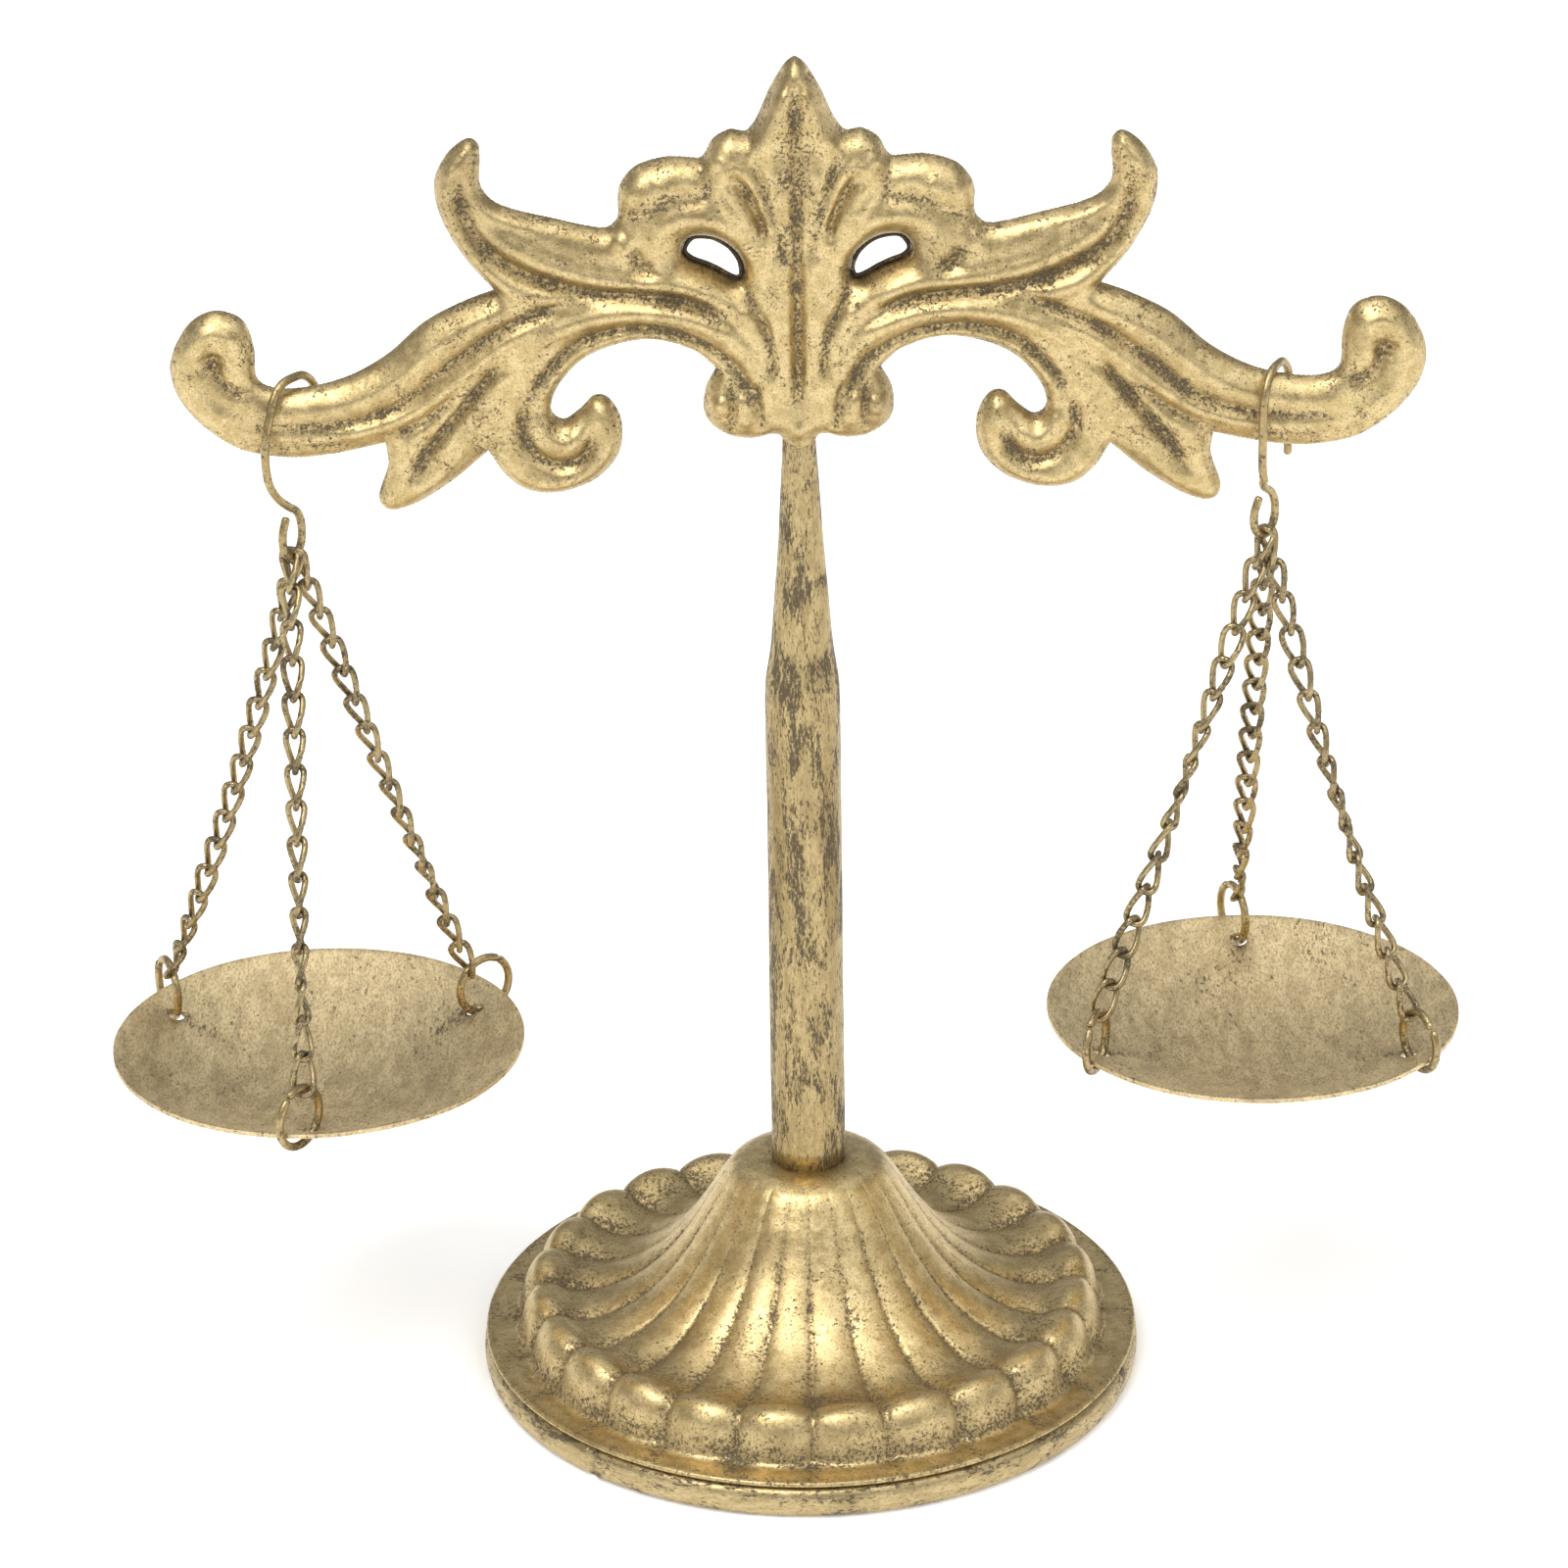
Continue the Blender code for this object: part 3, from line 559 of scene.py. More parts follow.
# Raised ribs and sunk grooves of the left half: rise (a groove is below 0), half width, route.
RELIEF = [
    # finial and the leaf below it
    (0.9, 1.3, [(-1.6, 242.5), (-3.1, 239.0), (-4.7, 235.5), (-6.0, 231.5)]),
    (0.55, 1.5, [(-3.2, 229.0), (-3.6, 222.0), (-3.4, 214.0)]),
    (-0.35, 1.5, [(-1.8, 232.0), (-2.0, 224.5)]),
    (0.95, 1.4, [(-3.4, 214.0), (-3.2, 205.0), (-2.8, 196.0), (-2.3, 187.0)]),
    (-0.55, 0.9, [(-7.3, 230.5), (-5.4, 225.0), (-2.9, 216.5), (-2.2, 212.0)]),
    (1.0, 1.3, [(-10.0, 204.0), (-7.5, 200.5), (-5.0, 195.5)]),
    (-0.75, 0.85, [(-9.0, 207.5), (-7.0, 203.5), (-5.0, 199.0), (-4.0, 192.0)]),
    # the slotted loop beside the finial
    (0.6, 0.85, [(-12.9, 224.5), (-12.4, 227.4), (-10.0, 229.0), (-7.6, 227.0), (-5.6, 222.6),
                 (-4.2, 218.5), (-4.5, 215.4), (-6.2, 215.3), (-8.8, 218.6), (-11.6, 222.2),
                 (-12.9, 224.5)]),
    (-0.9, 0.7, [(-10.2, 226.8), (-8.2, 224.4), (-6.4, 220.7), (-5.3, 217.2)]),
    (0.9, 0.65, [(-11.4, 225.4), (-9.1, 221.4), (-7.0, 217.6)]),
    # lobes
    (0.55, 2.0, [(-13.6, 228.9), (-12.4, 230.6)]),
    (-0.6, 0.9, [(-16.2, 229.0), (-15.0, 226.0), (-15.5, 223.3)]),
    (0.6, 3.2, [(-28.0, 225.6), (-25.0, 223.6), (-21.5, 226.0)]),
    (-0.45, 1.3, [(-28.6, 219.8), (-24.5, 221.3), (-19.0, 223.6), (-15.5, 223.4)]),
    # rib round the window
    (0.8, 2.1, [(-25.6, 213.0), (-24.0, 217.0), (-19.5, 219.8), (-14.0, 219.6), (-9.8, 216.4),
                (-7.4, 211.5)]),
    (0.55, 1.1, [(-30.2, 217.0), (-29.0, 214.5), (-28.0, 211.5)]),
    (-0.9, 1.4, [(-27.4, 214.5), (-26.8, 211.8), (-24.0, 210.8)]),
    # wing
    (0.8, 1.8, [(-56.0, 231.2), (-58.6, 227.0), (-58.2, 221.0), (-55.8, 214.5), (-51.0, 209.3),
                (-45.5, 206.8), (-38.0, 205.8)]),
    (0.6, 1.2, [(-54.9, 229.0), (-54.3, 224.5), (-51.0, 221.0), (-44.0, 218.3)]),
    (-1.1, 1.35, [(-56.8, 227.0), (-55.8, 220.5), (-51.5, 213.8), (-43.5, 209.2), (-34.0, 206.8),
                  (-27.0, 206.4), (-18.0, 205.0), (-12.5, 201.8)]),
    (0.9, 1.8, [(-51.0, 217.2), (-45.0, 213.5), (-38.0, 210.5), (-30.0, 208.9), (-24.0, 208.6),
                (-18.0, 207.8), (-12.0, 205.2)]),
    (0.35, 1.6, [(-23.0, 211.6), (-20.5, 211.3)]),
    # arch
    (0.9, 1.6, [(-47.0, 196.3), (-40.0, 200.6), (-33.0, 202.7), (-27.0, 203.3), (-20.0, 202.6),
                (-13.0, 200.0), (-9.0, 196.3), (-6.5, 191.5), (-5.4, 186.5)]),
    (-0.9, 1.0, [(-46.0, 187.5), (-43.2, 192.0), (-38.0, 197.3), (-34.0, 199.2), (-30.0, 200.3),
                 (-25.0, 200.4), (-20.0, 199.3), (-15.0, 197.0), (-11.2, 194.0), (-9.2, 190.8),
                 (-7.6, 186.0)]),
    (0.45, 0.8, [(-43.8, 187.6), (-42.0, 191.3), (-37.0, 196.2), (-30.0, 198.9), (-25.0, 199.1),
                 (-19.0, 197.9), (-14.6, 194.9)]),
    # arm
    (0.85, 1.9, [(-49.0, 204.4), (-55.0, 201.3), (-60.5, 198.0), (-66.0, 193.6), (-70.5, 190.3),
                 (-75.0, 188.0), (-81.0, 186.4), (-90.0, 185.6)]),
    (-0.7, 1.0, [(-37.0, 206.0), (-44.0, 203.2), (-51.0, 199.8), (-56.0, 196.4), (-61.5, 192.2),
                 (-66.0, 188.2), (-70.0, 186.0), (-78.0, 183.8), (-92.0, 183.0)]),
    (0.75, 1.4, [(-43.0, 201.6), (-50.0, 197.8), (-55.0, 194.0), (-60.0, 190.0), (-64.5, 186.8),
                 (-70.0, 184.0), (-78.0, 181.8), (-88.0, 181.2)]),
    (-0.35, 0.8, [(-97.0, 181.6), (-92.0, 180.0), (-84.0, 179.8), (-76.0, 180.6)]),
    # lower leaf
    (-0.9, 0.9, [(-51.0, 193.5), (-55.0, 189.0), (-59.5, 183.5), (-63.5, 178.6), (-66.5, 173.5)]),
    (0.5, 0.9, [(-49.0, 192.5), (-53.5, 188.5), (-58.0, 183.0), (-62.0, 177.5)]),
    (0.6, 1.5, [(-53.0, 187.0), (-56.5, 181.5), (-61.5, 174.5), (-66.0, 170.5)]),
    (0.5, 1.3, [(-64.0, 183.5), (-68.0, 178.0), (-70.2, 172.0)]),
    (-0.55, 0.8, [(-58.5, 188.5), (-63.0, 184.8), (-68.5, 181.8)]),
    # end curl
    (0.65, 1.7, [(-96.0, 183.5), (-101.0, 187.5), (-103.6, 192.5), (-103.2, 197.0),
                 (-99.8, 200.3), (-96.4, 199.3), (-94.9, 195.5)]),
    (-1.4, 1.8, [(-99.9, 196.4), (-99.2, 193.4)]),
    (-0.8, 1.0, [(-99.0, 194.0), (-98.0, 191.4), (-95.5, 189.8), (-93.6, 190.2)]),
    # volute
    (0.6, 1.6, [(-51.0, 178.4), (-48.6, 174.5), (-44.0, 172.0), (-38.0, 173.0), (-33.6, 177.0),
                (-32.4, 181.0), (-33.4, 185.0)]),
    (-1.1, 1.15, [(-46.6, 187.0), (-47.3, 182.0), (-45.3, 178.0), (-42.0, 176.0), (-38.5, 176.2),
                  (-36.0, 178.4), (-35.2, 181.5)]),
    (0.7, 1.5, [(-44.0, 184.5), (-42.0, 180.6), (-39.4, 179.9), (-37.8, 182.2)]),
    # little lobes at the foot
    (1.1, 1.9, [(-13.6, 188.2), (-13.4, 185.2)]),
    (1.0, 1.4, [(-9.4, 188.5), (-8.8, 183.6)]),
    (0.6, 0.55, [(-5.0, 181.2), (-2.6, 180.2), (-0.2, 179.0)]),
    (-0.7, 0.75, [(-11.6, 191.0), (-11.2, 186.0), (-11.4, 181.5)]),
    (-0.7, 0.7, [(-7.2, 191.0), (-6.6, 186.0), (-6.2, 182.0)]),
]
CENTRE_CREASE = (-1.0, 1.0, [(0.0, 242.0), (0.0, 215.0), (0.0, 188.0)])
ARM_DEPTH = 3.7
CENTRE_DEPTH = 5.2
CENTRE_SPREAD = 30.0          # how far out the deeper middle fades into the arms
EDGE_ROUND = 4.6
RELIEF_SCALE = 1.3            # on the rise of every rib and groove
HOOK_SEAT = 84.0              # the ribs are low where the hooks sit on the arms
SEAT_SPREAD = 8.0
SEAT_FADE = 0.65
SOLDER_SPOT = (0.0, 181.8)
SOLDER_RADIUS = 1.7
EDGE_ROWS = (0.22, 0.55, 1.05)
ROW_SPACING = 0.26
GRID_INSET = 1.45             # the even grid starts this far in from the edge
SEAM = 0.12                   # half the line of air where the two shells meet
LIP_RADIUS = 3.6              # the lip closes round the post
OUTLINE_STEP = 0.75
GRID_STEP = 0.72
ROW_STEP = GRID_STEP * 0.866
BEAM_SPAN = (-108, 108)
BEAM_RISE = (167, 247)


def mirrored(loop):
    return loop * np.array([-1.0, 1.0])


def beam_loops():
    half = [spline(run, OUTLINE_STEP)[:-1] for run in HALF_OUTLINE]
    half = np.concatenate(half + [np.array([HALF_OUTLINE[-1][-1]])])
    outline = np.concatenate([half, mirrored(half[1:-1])[::-1]])
    window = spline(WINDOW, OUTLINE_STEP, closed=True)
    return [outline, window, mirrored(window)[::-1]]


def nearest_loop(points, loops):
    return np.min([distance_to_line(points, loop, closed=True)[0] for loop in loops], axis=0)


def beam_filling(loops):
    """Rows that follow the edge, for its round, and an even grid inside them."""
    rows = []
    for inset in EDGE_ROWS:
        for loop in loops:
            along = np.roll(loop, -1, axis=0) - loop
            side = np.stack([along[:, 1], -along[:, 0]], axis=1)
            side /= np.linalg.norm(side, axis=1)[:, None] + 1e-9
            middle = loop + along / 2
            for sign in (1, -1):
                row = middle + side * inset * sign
                rows.append(row[nearest_loop(row, loops) > inset * 0.93])
    rows = thinned(np.concatenate(rows), ROW_SPACING)
    across = np.arange(*BEAM_SPAN, GRID_STEP)
    grid = [(x + (k % 2) * GRID_STEP / 2, z)
            for k, z in enumerate(np.arange(*BEAM_RISE, ROW_STEP)) for x in across]
    grid = np.array(grid)
    grid = grid[inside_loop(grid, loops[0])]
    grid = grid[nearest_loop(grid, loops) > GRID_INSET]
    filling = np.concatenate([rows, grid])
    inside = inside_loop(filling, loops[0])
    for loop in loops[1:]:
        inside &= ~inside_loop(filling, loop)
    return filling[inside]


def relief(points):
    """Sum of the ribs and grooves at each point, and how deep in a groove it is."""
    folded = np.stack([-np.abs(points[:, 0]), points[:, 1]], axis=1)
    rise = np.zeros(len(points))
    darkening = np.zeros(len(points))
    for amount, width, route in RELIEF + [CENTRE_CREASE]:
        line = spline(route, 1.0)
        far, place = distance_to_line(folded, line)
        ends = np.clip(np.minimum(place, 1 - place) * 7 + 0.35, 0, 1)
        reach = width * (0.75 + 0.25 * ends)
        bump = np.exp(-(far / reach) ** 2) * ends
        rise += RELIEF_SCALE * amount * bump
        if amount < 0:
            darkening = np.maximum(darkening, bump * min(1.0, -amount * 1.4))
    return rise, darkening


def beam_face(points, loops):
    """Height of the face over the seam, and where it darkens: patina in the grooves, a patch of dust, and
    painted shade along the edge.
    """
    edge = nearest_loop(points, loops)
    depth = ARM_DEPTH + (CENTRE_DEPTH - ARM_DEPTH) * np.exp(-(points[:, 0] / CENTRE_SPREAD) ** 2)
    t = np.clip(edge / EDGE_ROUND, 0, 1)
    pillow = np.sqrt(1 - (1 - t) ** 2)
    rise, darkening = relief(points)
    seat = np.exp(-((np.abs(points[:, 0]) - HOOK_SEAT) / SEAT_SPREAD) ** 2)
    rise *= 1 - SEAT_FADE * seat
    height = SEAM + (depth - 0.5 - SEAM) * pillow + rise * np.clip(edge / 1.6, 0, 1)
    height += 0.10 * unevenness(points, 6, 11) * pillow
    lip = np.sqrt(np.clip(LIP_RADIUS ** 2 - points[:, 0] ** 2, 0, None))
    lip *= np.clip((190 - points[:, 1]) / 5, 0, 1)
    blob = np.sum(((points - np.array(SOLDER_SPOT)) / SOLDER_RADIUS) ** 2, axis=1)
    height = np.maximum(height, lip) + 0.9 * np.exp(-blob)
    height = np.maximum(height, SEAM)
    # painted shade: a dark line along the edge, where the two shells meet
    rim = np.exp(-(edge / 0.9) ** 2)
    dust = 0.35 * np.exp(-((points[:, 0] / 4) ** 2 + ((points[:, 1] - 228) / 7) ** 2))
    dirt_and_painted_shade = np.clip(darkening + 0.42 * rim + dust, 0, 1)
    return np.minimum(height, CENTRE_DEPTH + 0.25), dirt_and_painted_shade


def beam_shells(material):
    """Two stamped shells, welded edge to edge round the top of the post."""
    loops = beam_loops()
    coords, faces = triangulated(loops, beam_filling(loops))
    height, dirt_and_painted_shade = beam_face(coords, loops)
    for name, side in (("front", -1), ("back", 1)):
        top = np.stack([coords[:, 0], side * height, coords[:, 1]], axis=1)
        back = np.stack([coords[:, 0], np.full(len(coords), side * 0.05), coords[:, 1]], axis=1)
        verts, solid = sheet_solid(top, back, faces)
        if side > 0:
            solid = [f[::-1] for f in solid]
        # painted shade: the inner faces, between the two shells, are darkened fully
        make_piece(f"beam_{name}_relief", verts, solid, material, "stand",
                   [f"beam_{name}_shell"], np.concatenate([dirt_and_painted_shade, dirt_and_painted_shade * 0 + 1]))
    return loops


SEAM_INSET = 0.40
SEAM_BEAD = 0.40
SEAM_ROUGHNESS = 0.12


def beam_seam(loops, material):
    """The thin uneven bead of solder along the joint of the two shells, darkened all along as painted
    shadow of the gap between them.
    """
    parts = []
    for number, loop in enumerate(loops):
        line = np.stack([loop[:, 0], loop[:, 1] * 0, loop[:, 1]], axis=1)
        rough = unevenness(line, 2.2, 31 + number)
        along = np.roll(loop, -1, axis=0) - np.roll(loop, 1, axis=0)
        side = np.stack([-along[:, 1], along[:, 0]], axis=1)
        side /= np.linalg.norm(side, axis=1)[:, None]
        probe = loop + side * SEAM_INSET
        inward = np.where(inside_loop(probe, loops[0]) == (number == 0), 1.0, -1.0)
        line[:, 0] += side[:, 0] * inward * SEAM_INSET
        line[:, 2] += side[:, 1] * inward * SEAM_INSET
        parts.append(tube(line, SEAM_BEAD + SEAM_ROUGHNESS * rough, 7, closed=True))
    verts, faces = joined(parts)
    verts[:, 2] = np.minimum(verts[:, 2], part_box("beam_front_shell")[1][2] / MM)
    # painted shadow: darkened all along, for the gap between the two shells
    return make_piece("beam_seam_bead", verts, faces, material, "stand",
                      (), np.full(len(verts), 0.9))


# ---- hooks, rings, chains

HOOK_WIRE = 0.75
HOOK_ROUTE = [(-6.3, -17.2), (-6.4, -12.0), (-6.4, -6.0), (-5.6, -1.8), (-3.1, 0.8), (0.0, 1.3),
              (3.2, 0.8), (5.6, -1.8), (6.3, -6.0), (6.3, -11.0), (6.1, -15.5), (4.9, -18.4),
              (2.9, -20.2), (0.6, -21.9), (-0.3, -24.6), (0.2, -27.7), (2.3, -29.3),
              (4.4, -27.7), (4.7, -24.8), (3.5, -21.9)]
EYE_BOTTOM = (2.3, -29.3)
LEG_BELLY = (-3.0, -19.0)
EYE_TURN = (-18.0, -22.0)     # between these heights the wire turns to the eye's plane
PAN_RADIUS = 36.8
PAN_DEPTH = 8.0
PAN_SHEET = 0.8
HOLE_RING = 31.0
HOLE_RADIUS = 1.6
RING_BEND = 5.35              # radius of the wire's centre line
RING_WIRE = 0.75
RING_SLACK = 0.15
LINKS = 15
LINK_WIRE = 0.58
LINK_WIDTH = 1.82             # half the width of a link's centre line
LINK_TWIST = math.radians(42)
LINK_SIDES = 10
LINK_CLEARANCE = 0.02
ROLL_PLAY = math.radians(22)  # how far a link may turn in what it hangs on
ROLL_SCATTER = math.radians(7)

# Each ring's bearing and turn; each chain's roll in degrees at its foot and head, its
# sag, how many degrees inwards it leaves its ring, and where on the eye it hangs.
SIDES = {
    "left": {"twist": 36, "eye_twist": 36, "belly": 1.28, "stretch": 1.05, "leg": -12.5,
             "rings": [(272, -38), (29, 8), (152, -38)],
             "hangs": [(-85, -25, 0.0, 0, -0.6), (-80, -12, 0.6, 18, 0.8), (-45, -55, 1.8, 10, 0.1)]},
    "right": {"twist": 25, "eye_twist": 50, "belly": 1.0, "stretch": 1.0, "leg": -17.5,
              "rings": [(90, 20), (207, 40), (329, -33)],
              "hangs": [(-60, -20, 0.0, 0, 0.5), (-190, 0, 1.0, 0, 0.3), (-150, -5, 2.0, 20, 0.8)]},
}
for side_name, side in SIDES.items():
    rocker = (joint_place(f"{side_name}_hook_rock") - POST_AXIS) / MM
    side["x"], side["edge"] = rocker[0], rocker[2]
    side["eye"] = (joint_place(f"{side_name}_pan_swing") - POST_AXIS) / MM
    side["rim"] = (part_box(f"pan_{side_name}")[1][2]) / MM


def hook_plane(side, w):
    """Forward direction of the hook's plane at height w below the arm."""
    blend = max(0.0, min(1.0, (EYE_TURN[0] - w) / (EYE_TURN[0] - EYE_TURN[1])))
    twist = math.radians(side["twist"] + (side["eye_twist"] - side["twist"]) * blend)
    return np.array([-math.sin(twist), -math.cos(twist), 0.0])


def hook_points(side):
    out = []
    route = [(u, w) for u, w in HOOK_ROUTE if u > 0 or w > side["leg"] or w < EYE_TURN[0]]
    for u, w in spline(route, 0.55):
        if u > 0 and LEG_BELLY[1] < w < LEG_BELLY[0]:
            swell = math.sin(math.pi * (LEG_BELLY[0] - w) / (LEG_BELLY[0] - LEG_BELLY[1]))
            u *= 1 + (side["belly"] - 1) * swell
        foot = np.array([side["x"], 0, side["edge"] + w * side["stretch"]])
        out.append(foot + hook_plane(side, w) * u)
    return np.array(out)


def hook(word, side, material):
    verts, faces = rounded_wire(hook_points(side), HOOK_WIRE, 16)
    low = np.clip((side["eye"][2] + 9 - verts[:, 2]) / 8, 0, 1)
    return make_piece(f"hook_{word}_wire", verts, faces, material, f"{word}_hook",
                      [f"hook_{word}"], 0.25 + 0.5 * low)


def dish_height(side, radius):
    """Top face of the dish at a radius."""
    ball = (PAN_RADIUS ** 2 + PAN_DEPTH ** 2) / (2 * PAN_DEPTH)
    return side["rim"] - (PAN_RADIUS ** 2 - radius ** 2) / (2 * ball)


def pan_axis(side):
    return side["eye"] * np.array([1, 1, 0])


def hole_offset(bearing):
    angle = math.radians(bearing)
    return np.array([math.cos(angle), math.sin(angle), 0]) * HOLE_RING


def ring_layout(side, bearing, turn):
    """Centre of an upright ring that carries the strip of pan outside its hole."""
    hole = hole_offset(bearing)
    heading = math.radians(bearing + turn)
    across = np.array([math.cos(heading), math.sin(heading), 0])
    along = hole @ across
    to_rim = math.sqrt(PAN_RADIUS ** 2 - HOLE_RING ** 2 + along ** 2) - along
    near = dish_height(side, np.linalg.norm(hole + across * HOLE_RADIUS)) - PAN_SHEET
    far = side["rim"] - PAN_SHEET
    strip = np.array([to_rim - HOLE_RADIUS, far - near])
    length = np.linalg.norm(strip)
    rise = math.sqrt((RING_BEND - RING_WIRE - RING_SLACK) ** 2 - (length / 2) ** 2)
    middle = np.array([(to_rim + HOLE_RADIUS) / 2, (near + far) / 2])
    middle += np.array([-strip[1], strip[0]]) / length * rise
    centre = pan_axis(side) + hole + across * middle[0] + UP * middle[1]
    to_eye = side["eye"] - centre
    normal = np.cross(across, UP)
    to_eye = to_eye - (to_eye @ normal) * normal
    return centre, across, to_eye / np.linalg.norm(to_eye)


SPLIT_HALF = math.radians(2.0)


def jump_ring(word, number, side, material):
    """Wire bent round until its two cut ends nearly meet."""
    bearing, turn = side["rings"][number - 1]
    centre, across, to_eye = ring_layout(side, bearing, turn)
    top = math.atan2(to_eye[2], to_eye @ across)
    opening = top - math.radians(38 + 9 * number)
    angles = np.linspace(opening + SPLIT_HALF, opening + 2 * math.pi - SPLIT_HALF, 64)
    points = [centre + (across * math.cos(a) + UP * math.sin(a)) * RING_BEND for a in angles]
    offset = np.cross(across, UP)
    points = [p + offset * 0.12 * math.cos((a - opening) / 2) for p, a in zip(points, angles)]
    verts, faces = rounded_wire(points, RING_WIRE, 14)
    dirt_and_painted_shade = 0.25 + 0.55 * np.clip((centre[2] - 1 - verts[:, 2]) / 4, 0, 1)
    return make_piece(f"ring_{word}_{number}_wire", verts, faces, material,
                      f"{word}_suspension", [f"ring_{word}_{number}"], dirt_and_painted_shade)


def link_points(outer_half, count=44):
    """Centre line of one curb link, long way up and twisted about it."""
    half_length = outer_half - LINK_WIRE
    out = []
    straight = half_length - LINK_WIDTH
    for k in range(count):
        a = 2 * math.pi * k / count
        along = math.sin(a) * LINK_WIDTH
        along += straight * math.tanh(2.6 * math.sin(a)) / math.tanh(2.6)
        wide = LINK_WIDTH * math.copysign(abs(math.cos(a)) ** 0.8, math.cos(a))
        twist = LINK_TWIST * along / half_length
        out.append((wide * math.cos(twist), wide * math.sin(twist), along))
    return np.array(out)


def unit(v):
    return v / np.linalg.norm(v)


def level(axis, towards):
    """towards, made square to axis."""
    return unit(towards - (towards @ axis) * axis)


def eased(fitted, wished):
    """The wished roll, kept within the play round the fitted one; half turns are alike."""
    gap = (wished - fitted + math.pi / 2) % math.pi - math.pi / 2
    return wished - gap + max(-ROLL_PLAY, min(ROLL_PLAY, gap))


def chain_run(number, side):
    """Both ends of a chain, the way it sags, and the run of its ring's wire."""
    bearing, turn = side["rings"][number - 1]
    _, _, sag, lean, shift = side["hangs"][number - 1]
    centre, across, to_eye = ring_layout(side, bearing, turn)
    plane = np.cross(across, UP)
    inward = np.cross(plane, to_eye)
    inward *= math.copysign(1, inward @ (pan_axis(side) - centre))
    lean = math.radians(lean)
    leaving = to_eye * math.cos(lean) + inward * math.sin(lean)
    low = centre + leaving * RING_BEND
    high = side["eye"] + np.array([shift, 0, 0])
    axis = unit(high - low)
    hold = RING_WIRE + 2 * LINK_WIRE + LINK_CLEARANCE
    low, high = low - axis * hold, high + axis * hold
    sideways = level(axis, (pan_axis(side) - centre) * np.array([1, 1, 0]))
    t = np.linspace(0, 1, 200)[:, None]
    curve = low + (high - low) * t + sideways * 4 * t * (1 - t) * sag
    return curve, np.cross(plane, leaving)


def link_roll(k, axis, base, rolls, wires):
    """Roll of link k, eased near both ends to the wire that the chain hangs on there."""
    low, high = rolls
    roll = low + (high - low) * k / (LINKS - 1)
    for wire, spin, distance, wished in ((wires[0], LINK_TWIST, k, low),
                                         (wires[1], -LINK_TWIST, LINKS - 1 - k, high)):
        run = level(axis, wire)
        fitted = math.atan2(-(run @ base[0]), run @ base[1]) + spin
        roll += (eased(fitted, wished) - wished) * max(0, 1 - distance / 3)
    return roll


def chain(word, number, side, material):
    """Curb links, each turned a little, from the ring up to the eye of the hook."""
    curve, ring_wire = chain_run(number, side)
    lengths = np.linalg.norm(np.diff(curve, axis=0), axis=1)
    along = np.concatenate([[0], np.cumsum(lengths)])
    overlap = 4 * LINK_WIRE
    link_length = (along[-1] + (LINKS - 1) * overlap) / LINKS
    pitch = link_length - overlap
    shape = link_points(link_length / 2)

    def at(distance):
        return np.array([np.interp(distance, along, curve[:, i]) for i in range(3)])

    rolls = [math.radians(roll) for roll in side["hangs"][number - 1][:2]]
    wires = (ring_wire, hook_plane(side, EYE_BOTTOM[1]))
    parts = []
    for k in range(LINKS):
        foot, head = at(k * pitch), at(k * pitch + link_length)
        axis = unit(head - foot)
        base_x = level(axis, np.array([1.0, 0, 0]))
        base_y = np.cross(axis, base_x)
        roll = link_roll(k, axis, (base_x, base_y), rolls, wires)
        roll += ROLL_SCATTER * noise.noise(Vector((k * 1.7, number, len(word))))
        x = base_x * math.cos(roll) + base_y * math.sin(roll)
        y = np.cross(axis, x)
        points = (foot + head) / 2 + shape[:, :1] * x + shape[:, 1:2] * y + shape[:, 2:] * axis
        parts.append(tube(points, LINK_WIRE, LINK_SIDES, closed=True))
    verts, faces = joined(parts)
    ends = np.concatenate([np.abs(shape[:, 2]) / (link_length / 2)] * LINKS).repeat(LINK_SIDES)
    dirt_and_painted_shade = 0.30 + 0.45 * np.clip(ends * 1.5 - 0.6, 0, 1)
    return make_piece(f"chain_{word}_{number}_links", verts, faces, material,
                      f"{word}_suspension", [f"chain_{word}_{number}"], dirt_and_painted_shade)


# ---- pans


RIM_POINTS = 180
HOLE_POINTS = 24


def pan_loops(side):
    """The rim and the three holes, round the pan's own middle."""
    circle = np.linspace(0, 2 * math.pi, RIM_POINTS + 1)[:-1]
    rim = np.stack([np.cos(circle), np.sin(circle)], axis=1) * PAN_RADIUS
    punch = np.linspace(0, 2 * math.pi, HOLE_POINTS + 1)[:-1]
    hole = np.stack([np.cos(punch), np.sin(punch)], axis=1) * HOLE_RADIUS
    return [rim] + [hole + hole_offset(bearing)[:2] for bearing, _ in side["rings"]]


def pan_filling(holes):
    """Rings of points over the dish, and one close round each hole."""
    filling = [(0.0, 0.0)]
    for radius in list(np.arange(1.3, PAN_RADIUS - 1.2, 1.3)) + [35.9, 36.45]:
        count = max(6, round(2 * math.pi * radius / 1.5))
        filling += [(radius * math.cos(a), radius * math.sin(a))
                    for a in np.arange(count) * 2 * math.pi / count]
    filling = np.array(filling)
    for hole in holes:
        middle = hole.mean(axis=0)
        filling = filling[np.linalg.norm(filling - middle, axis=1) > HOLE_RADIUS + 0.6]
        filling = np.concatenate([filling, middle + (hole - middle) * 1.18])
    return filling


def pan_ring_streaks(coords, side):
    """A strip that runs inwards from each ring, under its chain, wider and fainter further in; the pan is
    darker there.
    """
    streaks = np.zeros(len(coords))
    for bearing, _ in side["rings"]:
        out = hole_offset(bearing)[:2] / HOLE_RING
        inward = HOLE_RING - coords @ out
        aside = coords @ np.array([-out[1], out[0]])
        reach = np.clip(1 - inward / 14, 0, 1) * (inward > -1)
        streaks = np.maximum(streaks, reach * np.exp(-(aside / (1.3 + 0.12 * inward)) ** 2))
    return streaks


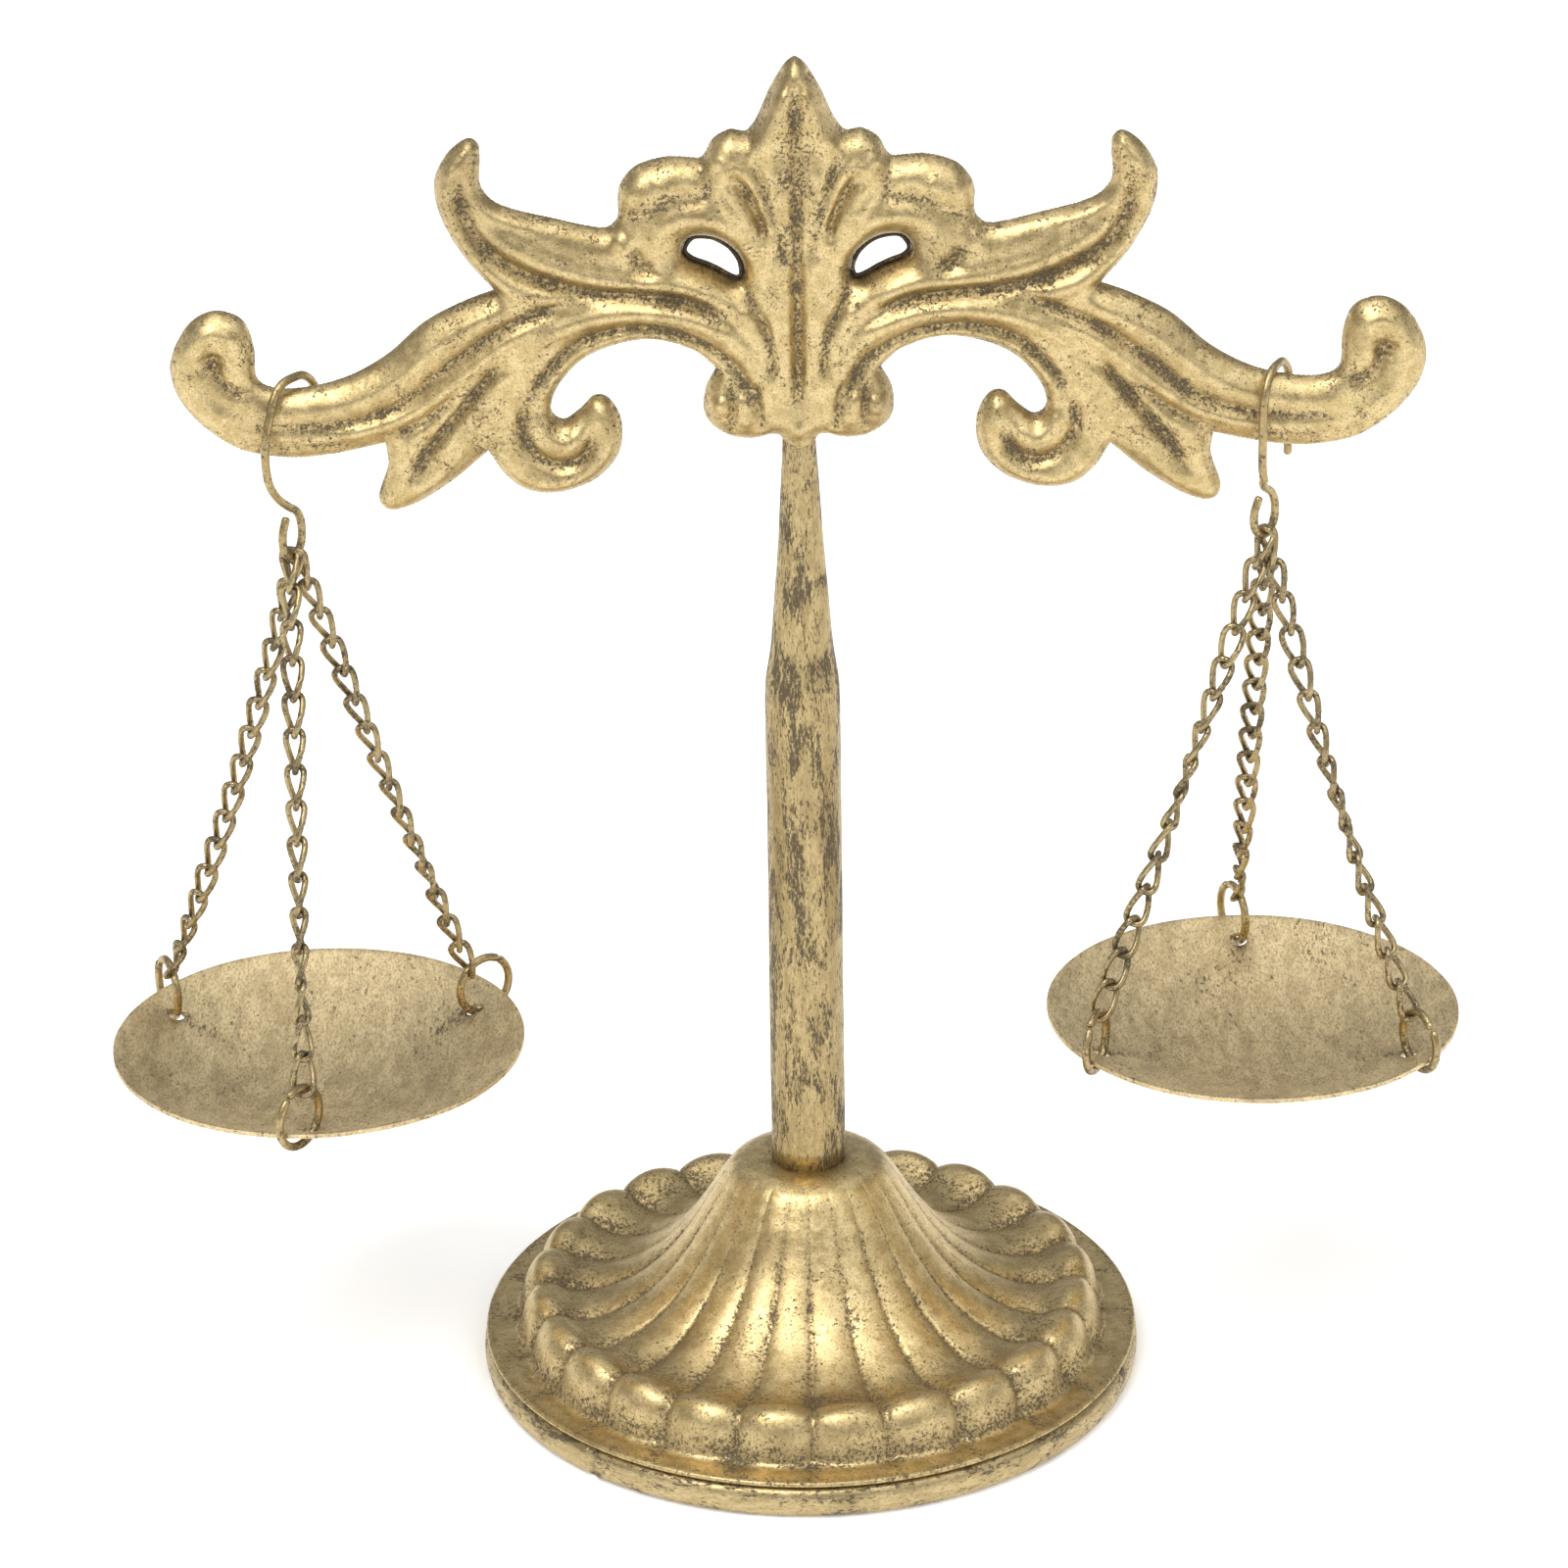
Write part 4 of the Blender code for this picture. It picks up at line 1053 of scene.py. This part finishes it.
def pan(word, side, material):
    """Shallow spun dish with a rolled edge and three punched holes."""
    loops = pan_loops(side)
    coords, faces = triangulated(loops, pan_filling(loops[1:]))
    radius = np.linalg.norm(coords, axis=1)
    height = dish_height(side, radius) + 0.12 * unevenness(coords, 14, 5 + len(word))
    height -= 0.22 * np.exp(-((radius - 36.9) / 0.35) ** 2)
    height = np.minimum(height, side["rim"])
    holes = np.min([np.linalg.norm(coords - loop.mean(axis=0), axis=1) for loop in loops[1:]],
                   axis=0)
    height -= 0.18 * np.exp(-((holes - HOLE_RADIUS) / 0.5) ** 2)
    top = np.stack([coords[:, 0], coords[:, 1], height], axis=1) + pan_axis(side)
    verts, solid = sheet_solid(top, top - UP * PAN_SHEET, faces)
    rim_line = np.exp(-((radius - PAN_RADIUS) / 0.5) ** 2)
    hole_line = np.exp(-((holes - HOLE_RADIUS) / 0.7) ** 2)
    dirt_and_painted_shade = np.clip(1.1 * pan_ring_streaks(coords, side) + 0.4 * hole_line - 0.3 * rim_line, 0, 1)
    piece = make_piece(f"pan_{word}_dish", verts, solid, material, f"{word}_suspension",
                       [f"pan_{word}"],
                       np.concatenate([dirt_and_painted_shade, np.full(len(dirt_and_painted_shade), 0.2)]))
    piece.data.set_sharp_from_angle(angle=math.radians(50))
    return piece


# ---- floor and lights


FLOOR_HALF = 5000.0
FLOOR_COUNT = 48
FLOOR_FLAT = 3200             # the sheet is flat out to this radius


def floor(material):
    """A pale sheet of paper, a little dished far off so that it is no bare plane."""
    count = FLOOR_COUNT
    steps = np.linspace(-FLOOR_HALF, FLOOR_HALF, count)
    verts = []
    for y in steps:
        for x in steps:
            lift = max(0.0, math.hypot(x, y) - FLOOR_FLAT) ** 2 / 9000
            verts.append((x * MM, y * MM, lift * MM))
    faces = [(r * count + c, r * count + c + 1, (r + 1) * count + c + 1, (r + 1) * count + c)
             for r in range(count - 1) for c in range(count - 1)]
    mesh = bpy.data.meshes.new("floor")
    mesh.from_pydata(verts, [], faces)
    mesh.shade_smooth()
    obj = bpy.data.objects.new("floor", mesh)
    obj.data.materials.append(material)
    bpy.context.collection.objects.link(obj)


def soft_sun(name, bearing, elevation, strength, spread, colour=(1, 1, 1)):
    """A broad soft light from a bearing and elevation in degrees; 270 is the front."""
    light = bpy.data.lights.new(name, "SUN")
    light.energy = strength
    light.angle = math.radians(spread)
    light.color = colour
    lamp = bpy.data.objects.new(name, light)
    a, e = math.radians(bearing), math.radians(elevation)
    towards = Vector((math.cos(a) * math.cos(e), math.sin(a) * math.cos(e), math.sin(e)))
    lamp.rotation_euler = towards.to_track_quat("Z", "Y").to_euler()
    bpy.context.collection.objects.link(lamp)


def studio():
    world = bpy.data.worlds.new("studio")
    bpy.context.scene.world = world
    world.use_nodes = True
    background = world.node_tree.nodes["Background"]
    background.inputs["Color"].default_value = (0.97, 0.98, 1.0, 1.0)
    background.inputs["Strength"].default_value = 0.36
    soft_sun("key_high_left", 238, 58, 1.6, 34, (1.0, 0.985, 0.96))
    soft_sun("fill_right", 318, 50, 0.7, 50, (0.97, 0.985, 1.0))
    soft_sun("top", 90, 80, 0.7, 60)


CAMERA_ELEVATION = math.radians(24.107)
CAMERA_ROLL = math.radians(-0.75)
CAMERA_PLACE = (-0.0002, -0.8732, 0.5090)    # metres from the post's foot
CAMERA_LENS = 124.89
CAMERA_SHIFT = (-0.01173, -0.01368)
SENSOR = 36


def camera():
    lens = bpy.data.cameras.new("camera")
    lens.lens = CAMERA_LENS
    lens.sensor_width = SENSOR
    lens.shift_x, lens.shift_y = CAMERA_SHIFT
    lens.clip_start, lens.clip_end = 0.01, 20
    eye = bpy.data.objects.new("camera", lens)
    eye.location = Vector(CAMERA_PLACE) + Vector(POST_AXIS)
    eye.rotation_mode = "QUATERNION"
    look = Vector((0, math.cos(CAMERA_ELEVATION), -math.sin(CAMERA_ELEVATION)))
    level_view = look.to_track_quat("-Z", "Y")
    eye.rotation_quaternion = level_view @ Quaternion((0, 0, 1), CAMERA_ROLL)
    bpy.context.collection.objects.link(eye)
    bpy.context.scene.camera = eye


def main():
    bpy.context.scene.view_settings.view_transform = "Standard"
    base_gold = antique_gold("gold_base", specks=0.42, dirt_and_painted_shade=0.9)
    ring_gold = antique_gold("gold_rim_ring", light=(0.62, 0.50, 0.27), middle=(0.46, 0.36, 0.18),
                             stretch=(0.5, 0.5, 1.6), specks=1.0, dirt_and_painted_shade=0.9)
    post_gold = antique_gold("gold_post", light=(0.60, 0.47, 0.24), middle=(0.41, 0.315, 0.15),
                             stretch=(1.7, 1.7, 0.45), specks=1.1, dirt_and_painted_shade=0.9)
    beam_gold = antique_gold("gold_beam", specks=0.55)
    # the seam's solder in dark tones, as painted shadow of the gap between the shells
    seam_gold_painted_shadow = antique_gold("gold_seam_painted_shadow", light=(0.34, 0.26, 0.14), middle=(0.17, 0.13, 0.075),
                             deep=(0.10, 0.075, 0.045), specks=1.2, grain=0.1)
    pan_gold = antique_gold("gold_pan", light=(0.88, 0.72, 0.43), middle=(0.70, 0.56, 0.32),
                            stretch=(1, 0.3, 1), specks=0.45, polish=0.50, grain=0.03)
    wire_gold = antique_gold("gold_wire", light=(0.56, 0.44, 0.22), middle=(0.40, 0.31, 0.15),
                             specks=0.7, polish=0.32, grain=0.03)
    chain_gold = antique_gold("gold_chain", light=(0.52, 0.42, 0.23), middle=(0.36, 0.285, 0.155),
                              specks=0.9, polish=0.32, grain=0.03)
    steel = zinc("zinc_steel")
    dome(base_gold)
    rim_ring(ring_gold)
    post(post_gold)
    loops = beam_shells(beam_gold)
    beam_seam(loops, seam_gold_painted_shadow)
    for word, side in SIDES.items():
        hook(word, side, wire_gold)
        pan(word, side, pan_gold)
        for number in (1, 2, 3):
            jump_ring(word, number, side, wire_gold)
            chain(word, number, side, chain_gold)
    for node in ("post_plug", "post_bolt", "bolt_washer"):
        frame["nodes"][node].data.materials.clear()
        frame["nodes"][node].data.materials.append(steel)
    floor(paper_floor("floor_paper"))
    studio()
    camera()


main()
